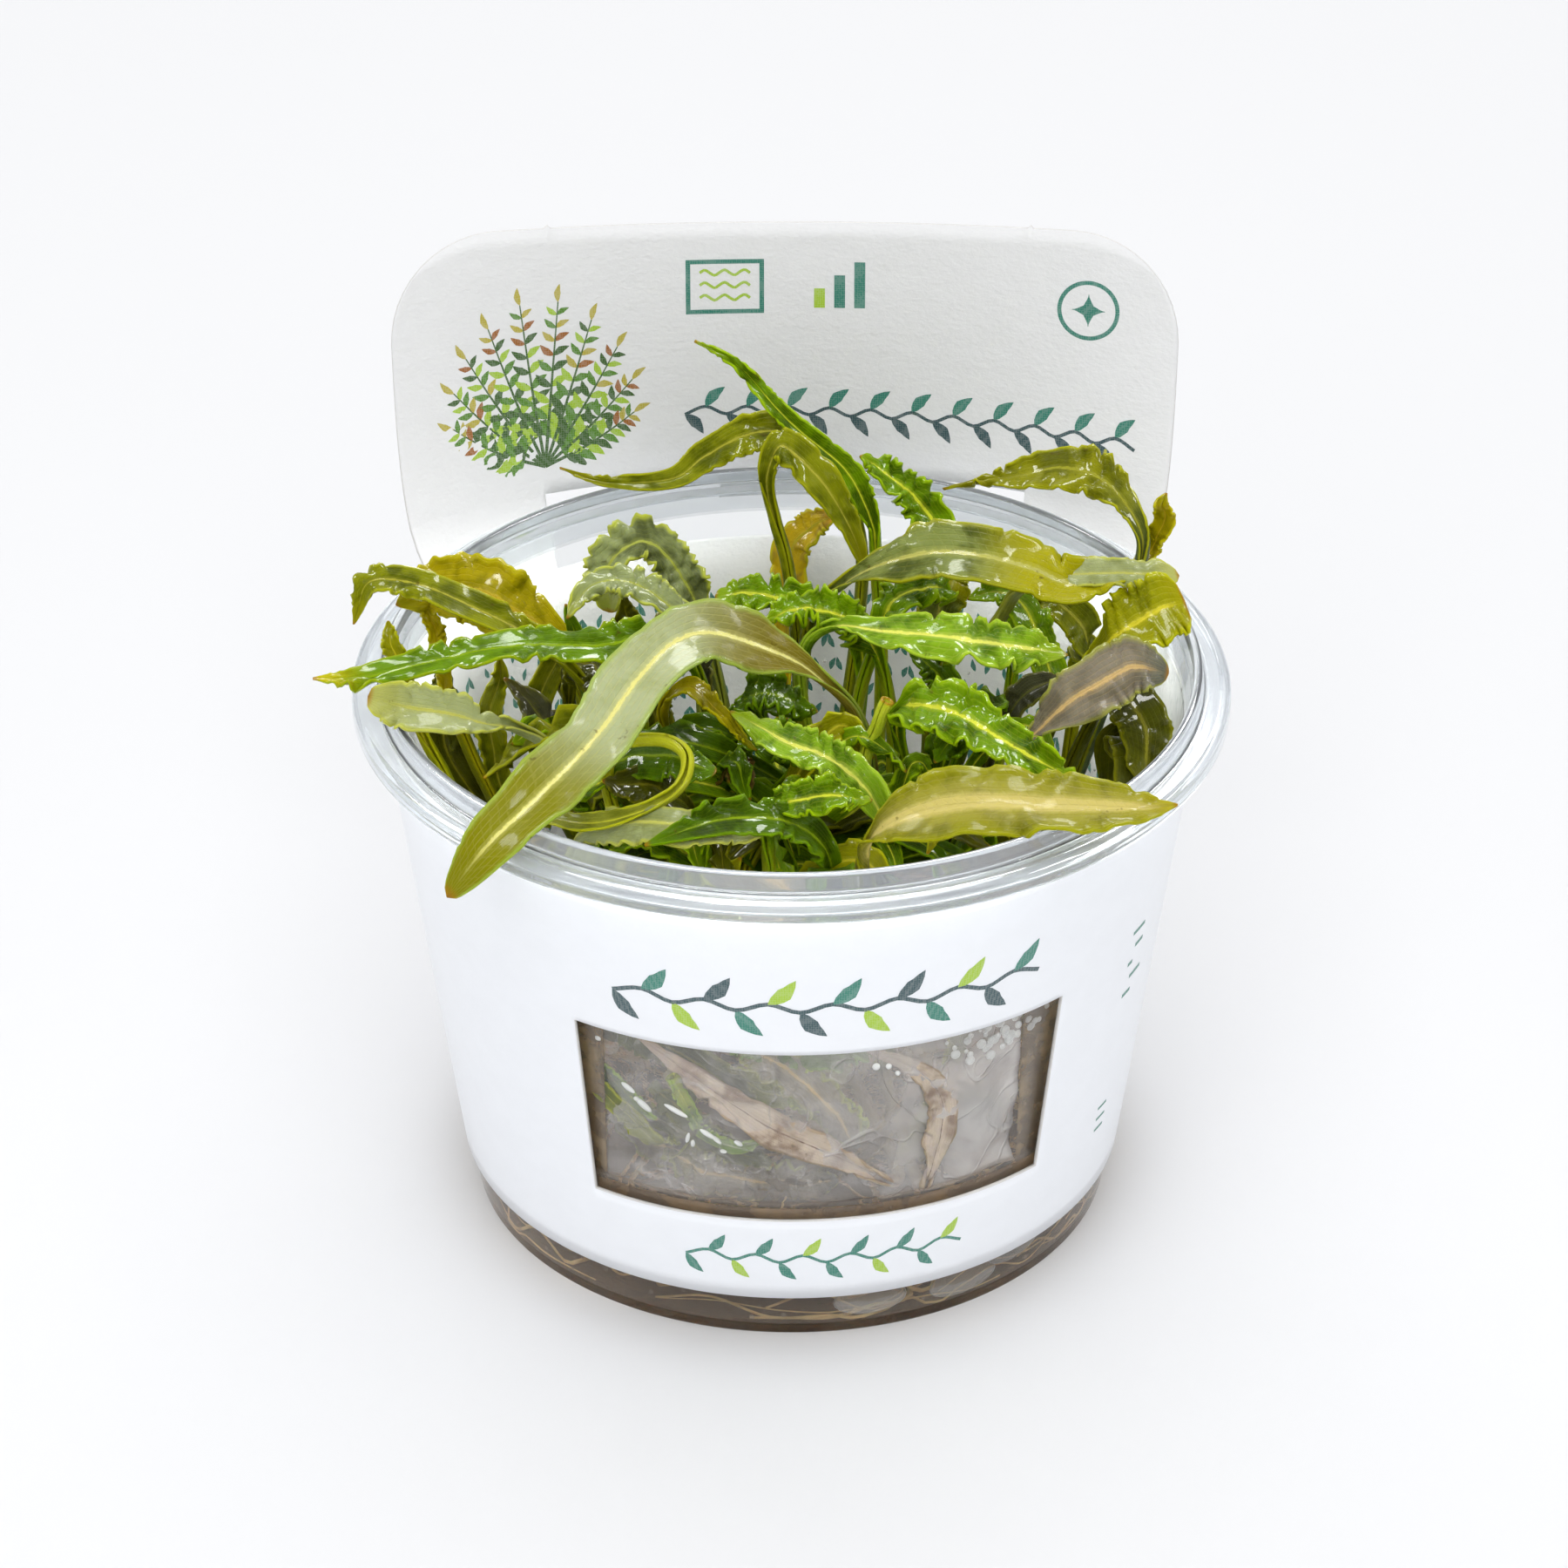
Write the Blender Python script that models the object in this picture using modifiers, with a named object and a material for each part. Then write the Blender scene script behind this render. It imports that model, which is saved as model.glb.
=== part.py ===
"""Clear tissue culture cup with a card sleeve, a bed of gel and strap-leaved water plants.

Run with: blender --background --python part.py
Metres, +Z up. The origin is the centre of the cup's flat underside, and the window faces -Y.
"""

import math

import bmesh
import bpy
from mathutils import Vector

MM = 0.001

# Cup
CUP_SEGMENTS = 56
BASE_RADIUS = 37.3
WALL_SLOPE = 0.131
WALL = 0.8
FLOOR = 0.9
FOOT_ROUND = 1.0
LIP_TOP = 67.5
LIP_OUTER = 46.7
LIP_INNER = 45.7
FLANGE_RADIUS = 50.0
FLANGE_TOP = 65.1
FLANGE_BOTTOM = 63.2
FLANGE_SKIN = 0.8
RIDGE_RADIUS = 49.0
RIDGE_TOP = 65.6
SHOULDER = 62.0
LIP_EDGE = 0.3

# Gel
GEL_TOP = 19.0
GEL_DIP = 0.6
GEL_DIP_RADIUS = 24.0
GAP = 0.35

# Card sleeve, as a flat blank: s runs round the cup from the back, z is height
CARD = 0.45
WELD = 0.02
SLEEVE_RADIUS = 37.55
SLEEVE_SLOPE = 0.138
SLEEVE_BOTTOM = 6.2
SLEEVE_TOP = 61.0
SLEEVE_COLUMNS = 48
BACK_RADIUS = 46.0
WINDOW_LOW = 17.9
WINDOW_HIGH = 42.6
WINDOW_LEFT_DEG = 33.2
WINDOW_RIGHT_DEG = 43.4
HEADER_TOP = 96.9
HEADER_SHIFT = -0.75
HEADER_HALF = 47.25
HEADER_CORNER = 13.0
SLOT_HALF = 29.5
SLOT_LOW = 58.0
SLOT_HIGH = 64.3
TAB_HALF = 8.1
TAB_LOW = 62.3
BEND_START = 55.0
BEND_END = 63.5
BEND_FADE = 18.0
HEADER_BACK = 50.7
HEADER_LEAN = 0.06
HEADER_RADIUS = 68.0
HEADER_RADIUS_GROWTH = 4.7
SLEEVE_ROWS = (
    WINDOW_LOW, 30.0, WINDOW_HIGH, 50.0, BEND_START, SLOT_LOW, SLEEVE_TOP, TAB_LOW,
    SLOT_HIGH, 67.0, 71.0, 77.0, HEADER_TOP - HEADER_CORNER, 88.0, 92.0, 95.0,
)

# Plants
CROWN_BASE = 19.4
CROWN_HEIGHT = 4.0
CROWN_LOW_RADIUS = 2.4
CROWN_TOP_RADIUS = 1.6
CROWN_SIDES = 10
LEAF_THICKNESS = 0.6
LEAF_STATIONS = 10
STALK_WIDTH = 1.3
TIP_WIDTH = 0.9
TIP_SHARE = 0.3
SPREAD_START = 0.6
SPREAD_LENGTH = 0.8
CURVE_STEP = 0.02
LEAF_FACE = Vector((0.0, -0.45, 0.9))

CROWNS = {
    "crown_left": (-14, 2),
    "crown_back": (0, 17),
    "crown_middle": (9, 3),
    "crown_right": (24, 6),
    "crown_front": (5, -13),
    "crown_front_left": (-12, -13),
}

# Each leaf: width, share of the length that is stalk, and the midrib from base to tip, in mm
LEAVES = {
    "leaf_long_front_left": (7.5, 0.3, [
        (7, -3, 25), (9, -1, 42), (8, -1, 58), (2, -4, 68), (-5, -6, 73), (-12, -8, 76),
        (-20, -18, 75), (-26, -26, 72), (-33, -34, 69), (-38, -41, 61)]),
    "leaf_green_left": (4.5, 0.3, [
        (-12, 5, 25), (-9, 5, 45), (-10, 4, 62), (-15, 0, 70), (-22, -3, 71), (-30, -5, 72),
        (-38, -6, 71), (-47, -8, 70), (-54, -9, 70)]),
    "leaf_over_left_rim": (4.5, 0.35, [
        (-16, -1, 25), (-21, -4, 42), (-26, -7, 58), (-31, -11, 65), (-34, -16, 69),
        (-40, -16, 70), (-47, -13, 70)]),
    "leaf_two_hump": (6.5, 0.35, [
        (-14, 6, 25), (-19, 9, 48), (-26, 7, 64), (-32, 4, 70), (-36, 6, 71), (-41, 7, 71),
        (-45, 6, 71)]),
    "leaf_curled_tip": (3.6, 0.35, [
        (-17, 3, 25), (-17, 4, 45), (-23, 1, 62), (-29, 0, 70), (-36, 0, 74), (-42, 3, 75),
        (-47, 3, 75), (-50, 2, 71)]),
    "leaf_grey_fold": (4.5, 0.4, [
        (-18, 0, 24), (-22, 2, 42), (-26, 2, 54), (-33, 5, 62)]),
    "leaf_left_strap": (3.2, 0.4, [
        (-19, 6, 24), (-28, 12, 42), (-30, 13, 52), (-27, 13, 60), (-23, 13, 63)]),
    "leaf_left_wall": (4.0, 0.3, [
        (-21, -2, 24), (-34, 3, 42), (-40, 6, 54), (-40, 9, 62)]),
    "leaf_left_inner": (3.2, 0.3, [
        (-20, 4, 24), (-31, 9, 38), (-35, 12, 50), (-34, 14, 60)]),
    "leaf_curled_back": (3.5, 0.4, [
        (-6, 17, 25), (-10, 20, 42), (-12, 23, 60), (-14, 23, 67), (-18, 24, 71),
        (-21, 24, 68), (-22, 23, 63)]),
    "leaf_grey_arch": (3.5, 0.4, [
        (-5, 14, 25), (-7, 15, 48), (-10, 15, 62), (-14, 14, 66), (-18, 15, 69),
        (-22, 15, 69), (-26, 12, 66)]),
    "leaf_crinkled_back": (3.8, 0.3, [
        (7, 14, 25), (8, 17, 45), (8, 18, 60), (2, 17, 65), (-4, 18, 66), (-9, 19, 65)]),
    "leaf_long_back_left": (3.6, 0.35, [
        (4, 22, 25), (6, 28, 42), (8, 35, 62), (4, 35, 74), (-1, 32, 80), (-6, 29, 81),
        (-10, 28, 79), (-14, 26, 77), (-22, 27, 76), (-27, 30, 76)]),
    "leaf_back_arch": (3.8, 0.5, [
        (0, 21, 25), (1, 22, 48), (0, 24, 64), (-2, 25, 72), (-3, 25, 78), (-1, 24, 82),
        (3, 23, 79), (5, 23, 74), (8, 22, 66)]),
    "leaf_tall_pointed": (3.6, 0.35, [
        (9, 21, 25), (11, 25, 48), (10, 27, 66), (9, 27, 71), (6, 27, 77), (1, 28, 82),
        (-3, 29, 86), (-7, 30, 90), (-12, 30, 92)]),
    "leaf_crinkled_rim": (4.0, 0.4, [
        (14, 20, 25), (18, 26, 48), (18, 29, 64), (15, 31, 71), (12, 32, 74), (8, 33, 76)]),
    "leaf_back_right": (4.5, 0.3, [
        (26, 11, 25), (34, 14, 44), (39, 17, 60), (40, 18, 69), (40, 20, 73), (36, 25, 76),
        (31, 28, 76), (26, 30, 73), (21, 32, 72), (18, 34, 71)]),
    "leaf_orange_back": (4.0, 0.4, [
        (-3, 22, 24), (-1, 31, 42), (0, 38, 58), (2, 39, 63), (6, 39, 65)]),
    "leaf_big_arch": (6.5, 0.35, [
        (2, 12, 27), (1, 14, 50), (2, 14, 66), (9, 10, 74), (14, 8, 78), (20, 7, 79),
        (25, 6, 77), (31, 7, 75), (39, 9, 73), (44, 12, 71)]),
    "leaf_behind_arch": (4.5, 0.4, [
        (22, 10, 25), (29, 16, 45), (34, 17, 56), (34, 15, 62), (31, 16, 66), (27, 19, 67)]),
    "leaf_serrated_right": (5.5, 0.45, [
        (28, 7, 25), (32, 8, 45), (34, 7, 61), (37, 4, 68), (41, 4, 71), (45, 6, 72)]),
    "leaf_grey_right": (5.5, 0.4, [
        (26, 2, 25), (26, -6, 45), (28, -8, 60), (31, -8, 66), (34, -7, 69), (38, -7, 70),
        (43, -8, 70)]),
    "leaf_dark_right": (5.0, 0.4, [
        (29, 4, 25), (35, 0, 42), (38, -3, 56), (40, -8, 60), (40, -14, 58)]),
    "leaf_small_green": (3.6, 0.35, [
        (20, 6, 25), (26, 5, 46), (30, 6, 60), (28, 8, 66), (25, 12, 69), (20, 13, 68)]),
    "leaf_green_midrib": (5.5, 0.4, [
        (9, 8, 25), (3, 8, 48), (1, 7, 63), (5, 5, 69), (11, 0, 71), (20, -4, 72),
        (26, -4, 71), (31, -2, 69)]),
    "leaf_green_right": (5.5, 0.35, [
        (13, 2, 25), (14, -3, 48), (12, -6, 63), (15, -11, 68), (20, -16, 69),
        (26, -20, 67), (33, -21, 63)]),
    "leaf_front_right": (6.0, 0.3, [
        (9, -15, 25), (9, -22, 42), (9, -28, 58), (11, -32, 67), (19, -33, 71),
        (28, -35, 72), (36, -34, 70), (42, -32, 68)]),
    "leaf_green_front": (4.0, 0.35, [
        (8, -10, 25), (11, -14, 45), (9, -18, 60), (4, -20, 66), (-1, -18, 67),
        (-7, -8, 65)]),
    "leaf_front_bottom": (4.0, 0.35, [
        (4, -17, 25), (4, -20, 42), (4, -24, 56), (-1, -28, 63), (-8, -31, 65),
        (-16, -33, 63)]),
    "leaf_yellow_loop": (3.5, 0.65, [
        (-12, -9, 24), (-17, -7, 40), (-19, -9, 54), (-15, -14, 61), (-11, -21, 64),
        (-14, -26, 64), (-20, -26, 63), (-28, -22, 62)]),
    "leaf_window_tan": (5.0, 0.3, [
        (7, -16, 22), (11, -29, 22), (7, -35, 25), (-5, -37, 32), (-16, -35, 40)]),
    "leaf_window_curved": (4.0, 0.3, [
        (10, -13, 23), (16, -27, 22), (17, -32, 26), (16, -34, 33), (11, -37, 40)]),
    "leaf_window_green": (2.6, 0.3, [
        (-10, -16, 23), (-14, -30, 24), (-19, -33, 29), (-25, -31, 35)]),
    "leaf_left_front_inner": (4.0, 0.4, [
        (-15, -15, 24), (-24, -24, 36), (-29, -26, 48), (-32, -23, 57)]),
    "leaf_dark_centre": (4.0, 0.35, [
        (-3, 12, 24), (-5, 9, 44), (-6, 4, 57), (-2, 1, 61), (3, 1, 60)]),
    "leaf_brown_crumpled": (4.0, 0.35, [
        (-9, -1, 25), (-8, -3, 42), (-11, -2, 52), (-16, 0, 55)]),
    "leaf_low_centre": (4.0, 0.35, [
        (2, -10, 25), (0, -9, 42), (-3, -10, 53), (-7, -11, 58)]),
    "leaf_low_right": (4.0, 0.35, [
        (22, 1, 24), (21, -10, 40), (21, -14, 53), (24, -14, 60)]),
    "leaf_low_front_right": (4.0, 0.35, [
        (10, -17, 24), (18, -23, 38), (22, -25, 50), (25, -26, 58)]),
    "leaf_low_right_wall": (4.0, 0.35, [
        (26, -1, 23), (33, -9, 38), (34, -15, 48), (33, -19, 56)]),
    "leaf_low_front": (4.0, 0.35, [
        (-13, -17, 24), (-12, -24, 38), (-10, -27, 50), (-6, -26, 57)]),
    "leaf_low_left": (4.0, 0.35, [
        (-18, -4, 22), (-29, -10, 36), (-33, -13, 48), (-36, -14, 57)]),
    "leaf_low_back": (4.0, 0.35, [
        (-4, 20, 24), (-14, 26, 38), (-18, 29, 50), (-20, 32, 58)]),
    "leaf_low_back_left": (3.5, 0.35, [
        (-12, 9, 23), (-20, 18, 38), (-25, 21, 50), (-28, 21, 58)]),
    "leaf_low_right_side": (3.5, 0.35, [
        (29, 9, 23), (36, 8, 36), (39, 8, 48), (40, 6, 56)]),
    "leaf_low_middle": (4.0, 0.35, [
        (13, 6, 25), (17, 10, 42), (18, 14, 54), (14, 16, 60)]),
}


def smooth_step(value):
    """Ease from 0 to 1."""
    t = min(max(value, 0.0), 1.0)
    return t * t * (3.0 - 2.0 * t)


def new_collection(name):
    """Make a collection under the scene."""
    collection = bpy.data.collections.new(name)
    bpy.context.scene.collection.children.link(collection)
    return collection


def finish(name, color, roughness, metallic=0.0):
    """Make a material from a colour and a gloss."""
    material = bpy.data.materials.new(name)
    material.use_nodes = True
    shader = material.node_tree.nodes["Principled BSDF"]
    shader.inputs["Base Color"].default_value = (*color, 1.0)
    shader.inputs["Roughness"].default_value = roughness
    shader.inputs["Metallic"].default_value = metallic
    return material


def add_object(name, mesh, material, collection):
    """Put a mesh into the model as one named piece."""
    piece = bpy.data.objects.new(name, mesh)
    piece.data.materials.append(material)
    collection.objects.link(piece)
    return piece


def mesh_from(name, bm):
    """Turn a bmesh into a mesh and free it."""
    mesh = bpy.data.meshes.new(name)
    bm.to_mesh(mesh)
    bm.free()
    return mesh


def turned(name, profile, segments, material, collection):
    """Turn a profile of (radius, height) in mm about Z; it runs down its outer side."""
    bm = bmesh.new()
    previous = None
    for radius, height in profile:
        vertex = bm.verts.new((radius * MM, 0.0, height * MM))
        if previous:
            bm.edges.new((previous, vertex))
        previous = vertex
    piece = add_object(name, mesh_from(name, bm), material, collection)
    screw = piece.modifiers.new("Turn", "SCREW")
    screw.steps = segments
    screw.render_steps = segments
    screw.use_merge_vertices = True
    screw.merge_threshold = 0.00001
    screw.use_smooth_shade = True
    return piece


def wall_radius(height):
    """Outer radius of the cup's wall."""
    return BASE_RADIUS + WALL_SLOPE * height


def build_cup(collection):
    """Thin clear cup: flat floor, tapered wall, raised lip and a flange with a skirt."""
    inner_low = wall_radius(FLOOR) - WALL
    shoulder = wall_radius(SHOULDER)
    profile = [
        (0.0, FLOOR),
        (inner_low - FOOT_ROUND, FLOOR),
        (inner_low, FLOOR + FOOT_ROUND),
        (shoulder - WALL, SHOULDER),
        (LIP_INNER - LIP_EDGE, FLANGE_TOP),
        (LIP_INNER, LIP_TOP - LIP_EDGE),
        (LIP_INNER + LIP_EDGE, LIP_TOP),
        (LIP_OUTER - LIP_EDGE, LIP_TOP),
        (LIP_OUTER, LIP_TOP - LIP_EDGE),
        (LIP_OUTER + LIP_EDGE, RIDGE_TOP - LIP_EDGE),
        (RIDGE_RADIUS, RIDGE_TOP),
        (FLANGE_RADIUS, FLANGE_TOP),
        (FLANGE_RADIUS, FLANGE_BOTTOM),
        (FLANGE_RADIUS - FLANGE_SKIN, FLANGE_BOTTOM),
        (FLANGE_RADIUS - FLANGE_SKIN - LIP_EDGE, FLANGE_TOP - FLANGE_SKIN),
        (LIP_OUTER - LIP_EDGE, FLANGE_TOP - FLANGE_SKIN - LIP_EDGE),
        (wall_radius(SHOULDER + LIP_EDGE), SHOULDER + LIP_EDGE),
        (wall_radius(FOOT_ROUND), FOOT_ROUND),
        (BASE_RADIUS - FOOT_ROUND / 2.0, FOOT_ROUND / 6.0),
        (BASE_RADIUS - FOOT_ROUND, 0.0),
        (0.0, 0.0),
    ]
    clear = finish("clear_cup", (0.90, 0.92, 0.92), 0.05)
    return turned("cup", profile, CUP_SEGMENTS, clear, collection)


def build_gel(collection):
    """Bed of culture gel that fills the bottom of the cup."""
    low = FLOOR + GAP
    inner = wall_radius(0.0) - WALL - GAP
    profile = [
        (0.0, GEL_TOP - GEL_DIP),
        (GEL_DIP_RADIUS, GEL_TOP),
        (inner + WALL_SLOPE * GEL_TOP, GEL_TOP),
        (inner + WALL_SLOPE * (low + FOOT_ROUND), low + FOOT_ROUND),
        (inner - FOOT_ROUND, low),
        (0.0, low),
    ]
    amber = finish("gel", (0.36, 0.28, 0.16), 0.15)
    return turned("culture_gel", profile, CUP_SEGMENTS, amber, collection)


def bend_amount(s, z):
    """How far the card has left the cup's cone for the flatter header."""
    up = smooth_step((z - BEND_START) / (BEND_END - BEND_START))
    beyond = abs(s - HEADER_SHIFT) - HEADER_HALF
    return up * (1.0 - smooth_step(beyond / BEND_FADE))


def sleeve_point(s, z):
    """Place a point of the flat blank on the bent card's inner face."""
    turn = s / BACK_RADIUS
    radius = SLEEVE_RADIUS + SLEEVE_SLOPE * z
    header_radius = HEADER_RADIUS + HEADER_RADIUS_GROWTH * max(z - SLEEVE_TOP, 0.0)
    header_turn = s / header_radius
    back = HEADER_BACK + HEADER_LEAN * (z - SLOT_HIGH)
    on_cone = Vector((radius * math.sin(turn), radius * math.cos(turn), z))
    on_header = Vector((
        header_radius * math.sin(header_turn),
        back - header_radius * (1.0 - math.cos(header_turn)),
        z,
    ))
    return on_cone.lerp(on_header, bend_amount(s, z)) * MM


def round_corner(s, z):
    """Pull the header's two square top corners in to quarter circles."""
    across = abs(s - HEADER_SHIFT) - (HEADER_HALF - HEADER_CORNER)
    above = z - (HEADER_TOP - HEADER_CORNER)
    if across <= 0.0 or above <= 0.0:
        return s, z
    u = across / HEADER_CORNER
    v = above / HEADER_CORNER
    side = math.copysign(1.0, s - HEADER_SHIFT)
    new_across = HEADER_CORNER * u * math.sqrt(1.0 - v * v / 2.0)
    new_above = HEADER_CORNER * v * math.sqrt(1.0 - u * u / 2.0)
    new_s = HEADER_SHIFT + side * (HEADER_HALF - HEADER_CORNER + new_across)
    return new_s, HEADER_TOP - HEADER_CORNER + new_above


def is_card(s, z):
    """Whether the blank has card at this place."""
    half = math.pi * BACK_RADIUS
    right_edge = half - math.radians(WINDOW_RIGHT_DEG) * BACK_RADIUS
    left_edge = math.radians(WINDOW_LEFT_DEG) * BACK_RADIUS - half
    across = abs(s - HEADER_SHIFT)
    if WINDOW_LOW < z < WINDOW_HIGH and (s > right_edge or s < left_edge):
        return False
    if SLOT_LOW < z < SLOT_HIGH and across < SLOT_HALF:
        return z > TAB_LOW and across < TAB_HALF
    return z < SLEEVE_TOP or across < HEADER_HALF


def cut_line(bm, point, normal):
    """Add an edge line right across the flat blank."""
    geometry = bm.verts[:] + bm.edges[:] + bm.faces[:]
    bmesh.ops.bisect_plane(bm, geom=geometry, dist=1e-6, plane_co=point, plane_no=normal)


def build_sleeve(collection):
    """One die-cut card: a band with a window, and a header that rises behind the rim."""
    half = math.pi * BACK_RADIUS
    tall = HEADER_TOP - SLEEVE_BOTTOM
    bm = bmesh.new()
    bmesh.ops.create_grid(bm, x_segments=SLEEVE_COLUMNS, y_segments=1, size=0.5)
    bmesh.ops.scale(bm, vec=(2.0 * half, tall, 1.0), verts=bm.verts)
    bmesh.ops.translate(bm, vec=(0.0, SLEEVE_BOTTOM + tall / 2.0, 0.0), verts=bm.verts)
    for z in SLEEVE_ROWS:
        cut_line(bm, (0.0, z, 0.0), (0.0, 1.0, 0.0))
    columns = [
        half - math.radians(WINDOW_RIGHT_DEG) * BACK_RADIUS,
        math.radians(WINDOW_LEFT_DEG) * BACK_RADIUS - half,
    ]
    for width in (HEADER_HALF, HEADER_HALF - HEADER_CORNER, SLOT_HALF, TAB_HALF):
        columns += [HEADER_SHIFT - width, HEADER_SHIFT + width]
    for s in columns:
        cut_line(bm, (s, 0.0, 0.0), (1.0, 0.0, 0.0))
    gone = [f for f in bm.faces if not is_card(*f.calc_center_median().xy)]
    bmesh.ops.delete(bm, geom=gone, context="FACES")
    for vertex in bm.verts:
        vertex.co = sleeve_point(*round_corner(*vertex.co.xy))
    bmesh.ops.remove_doubles(bm, verts=bm.verts, dist=WELD * MM)
    bmesh.ops.recalc_face_normals(bm, faces=bm.faces)
    white = finish("white_card", (0.88, 0.90, 0.92), 0.45)
    piece = add_object("card_sleeve", mesh_from("card_sleeve", bm), white, collection)
    thick = piece.modifiers.new("Card", "SOLIDIFY")
    thick.thickness = CARD * MM
    thick.offset = 1.0
    return piece


def build_crown(name, place, material, collection):
    """Short tapered stem that stands on the gel and carries a plantlet's leaves."""
    bm = bmesh.new()
    bmesh.ops.create_cone(
        bm, cap_ends=True, segments=CROWN_SIDES, radius1=CROWN_LOW_RADIUS * MM,
        radius2=CROWN_TOP_RADIUS * MM, depth=CROWN_HEIGHT * MM)
    centre = (place[0], place[1], CROWN_BASE + CROWN_HEIGHT / 2.0)
    bmesh.ops.translate(bm, vec=Vector(centre) * MM, verts=bm.verts)
    return add_object(name, mesh_from(name, bm), material, collection)


def curve_point(points, t):
    """Point at t, from 0 to 1, on a smooth curve through the given points."""
    place = t * (len(points) - 1)
    i = min(int(place), len(points) - 2)
    u = place - i
    p1, p2 = points[i], points[i + 1]
    p0 = points[i - 1] if i > 0 else 2.0 * p1 - p2
    p3 = points[i + 2] if i + 2 < len(points) else 2.0 * p2 - p1
    a = 2.0 * p1
    b = p2 - p0
    c = 2.0 * p0 - 5.0 * p1 + 4.0 * p2 - p3
    d = 3.0 * p1 - p0 - 3.0 * p2 + p3
    return 0.5 * (a + b * u + c * u * u + d * u * u * u)


def leaf_width(t, width, stalk):
    """Width along a strap leaf: narrow stalk, long blade, pointed tip."""
    spread = smooth_step((t - stalk * SPREAD_START) / (stalk * SPREAD_LENGTH))
    body = STALK_WIDTH + (width - STALK_WIDTH) * spread
    taper = smooth_step((1.0 - t) / TIP_SHARE)
    return TIP_WIDTH + (body - TIP_WIDTH) * taper


def build_leaf(name, width, stalk, route, material, collection):
    """Strap leaf: a flat strip laid along its midrib, then given its thickness."""
    points = [Vector(p) for p in route]
    bm = bmesh.new()
    bmesh.ops.create_grid(bm, x_segments=2, y_segments=LEAF_STATIONS - 1, size=0.5)
    side = None
    for row in range(LEAF_STATIONS):
        t = row / (LEAF_STATIONS - 1)
        here = curve_point(points, t)
        ahead = curve_point(points, min(t + CURVE_STEP, 1.0))
        along = ahead - curve_point(points, max(t - CURVE_STEP, 0.0))
        across = along.cross(LEAF_FACE).normalized()
        if side and across.dot(side) < 0.0:
            across = -across
        side = across
        half = leaf_width(t, width, stalk) / 2.0
        for vertex in bm.verts:
            if vertex.tag or round((vertex.co.y + 0.5) * (LEAF_STATIONS - 1)) != row:
                continue
            vertex.co = (here + across * half * round(vertex.co.x * 2.0)) * MM
            vertex.tag = True
    bmesh.ops.recalc_face_normals(bm, faces=bm.faces)
    piece = add_object(name, mesh_from(name, bm), material, collection)
    thick = piece.modifiers.new("Blade", "SOLIDIFY")
    thick.thickness = LEAF_THICKNESS * MM
    thick.offset = 0.0
    return piece


def build_plants(collection):
    """Crowns on the gel and the strap leaves that rise from them."""
    stem = finish("pale_crown", (0.42, 0.40, 0.16), 0.5)
    for name, place in CROWNS.items():
        build_crown(name, place, stem, collection)
    green = finish("leaf_green", (0.12, 0.26, 0.03), 0.35)
    for name, (width, stalk, route) in LEAVES.items():
        build_leaf(name, width, stalk, route, green, collection)


def main():
    """Build every piece."""
    for old in list(bpy.data.objects):
        bpy.data.objects.remove(old)
    collection = new_collection("plant_cup")
    build_cup(collection)
    build_gel(collection)
    build_sleeve(collection)
    build_plants(collection)


main()
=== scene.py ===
"""Tissue culture cup of strap-leaved water plants in a card sleeve: the visual model.

Laid out as an add-on: one operator for each piece or group of like pieces, and one for the stage.
Sizes are in millimetres until they reach a mesh, and the cup's window faces -Y.
"""

import math
import random
from typing import NamedTuple

import bmesh
import bpy
from mathutils import Matrix, Vector, noise


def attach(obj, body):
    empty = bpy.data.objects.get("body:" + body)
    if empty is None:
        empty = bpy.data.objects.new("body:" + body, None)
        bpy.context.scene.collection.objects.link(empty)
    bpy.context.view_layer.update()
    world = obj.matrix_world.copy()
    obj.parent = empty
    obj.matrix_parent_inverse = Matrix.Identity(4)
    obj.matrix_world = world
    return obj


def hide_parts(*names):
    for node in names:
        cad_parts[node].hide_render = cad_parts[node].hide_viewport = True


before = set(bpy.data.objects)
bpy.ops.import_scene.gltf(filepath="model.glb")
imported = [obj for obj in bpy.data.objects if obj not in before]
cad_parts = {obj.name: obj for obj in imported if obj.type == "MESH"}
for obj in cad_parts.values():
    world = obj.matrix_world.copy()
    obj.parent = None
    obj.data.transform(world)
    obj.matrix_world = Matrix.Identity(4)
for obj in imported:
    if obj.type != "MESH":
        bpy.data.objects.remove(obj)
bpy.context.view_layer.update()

bl_info = {
    "name": "Plant Culture Cup",
    "version": (1, 0, 0),
    "blender": (4, 5, 0),
    "location": "View3D > Sidebar > Plant Cup",
    "description": "Builds a clear cup of water plants on gel in a printed card sleeve",
    "category": "Add Mesh",
}

MM = 0.001
FULL_TURN = 2.0 * math.pi

# Cup profile
BASE_RADIUS = 37.3
WALL_SLOPE = 0.131
WALL = 0.8
FLOOR = 0.9
SHOULDER = 62.0
LIP_TOP = 67.5
LIP_OUTER = 46.7
LIP_INNER = 45.7
FLANGE_RADIUS = 50.0
FLANGE_TOP = 65.1
FLANGE_BOTTOM = 63.2
FLANGE_SKIN = 0.8
RIDGE_RADIUS = 49.0
RIDGE_TOP = 65.6

# Gel
GEL_TOP = 19.0
GEL_GAP = 0.08

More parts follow.
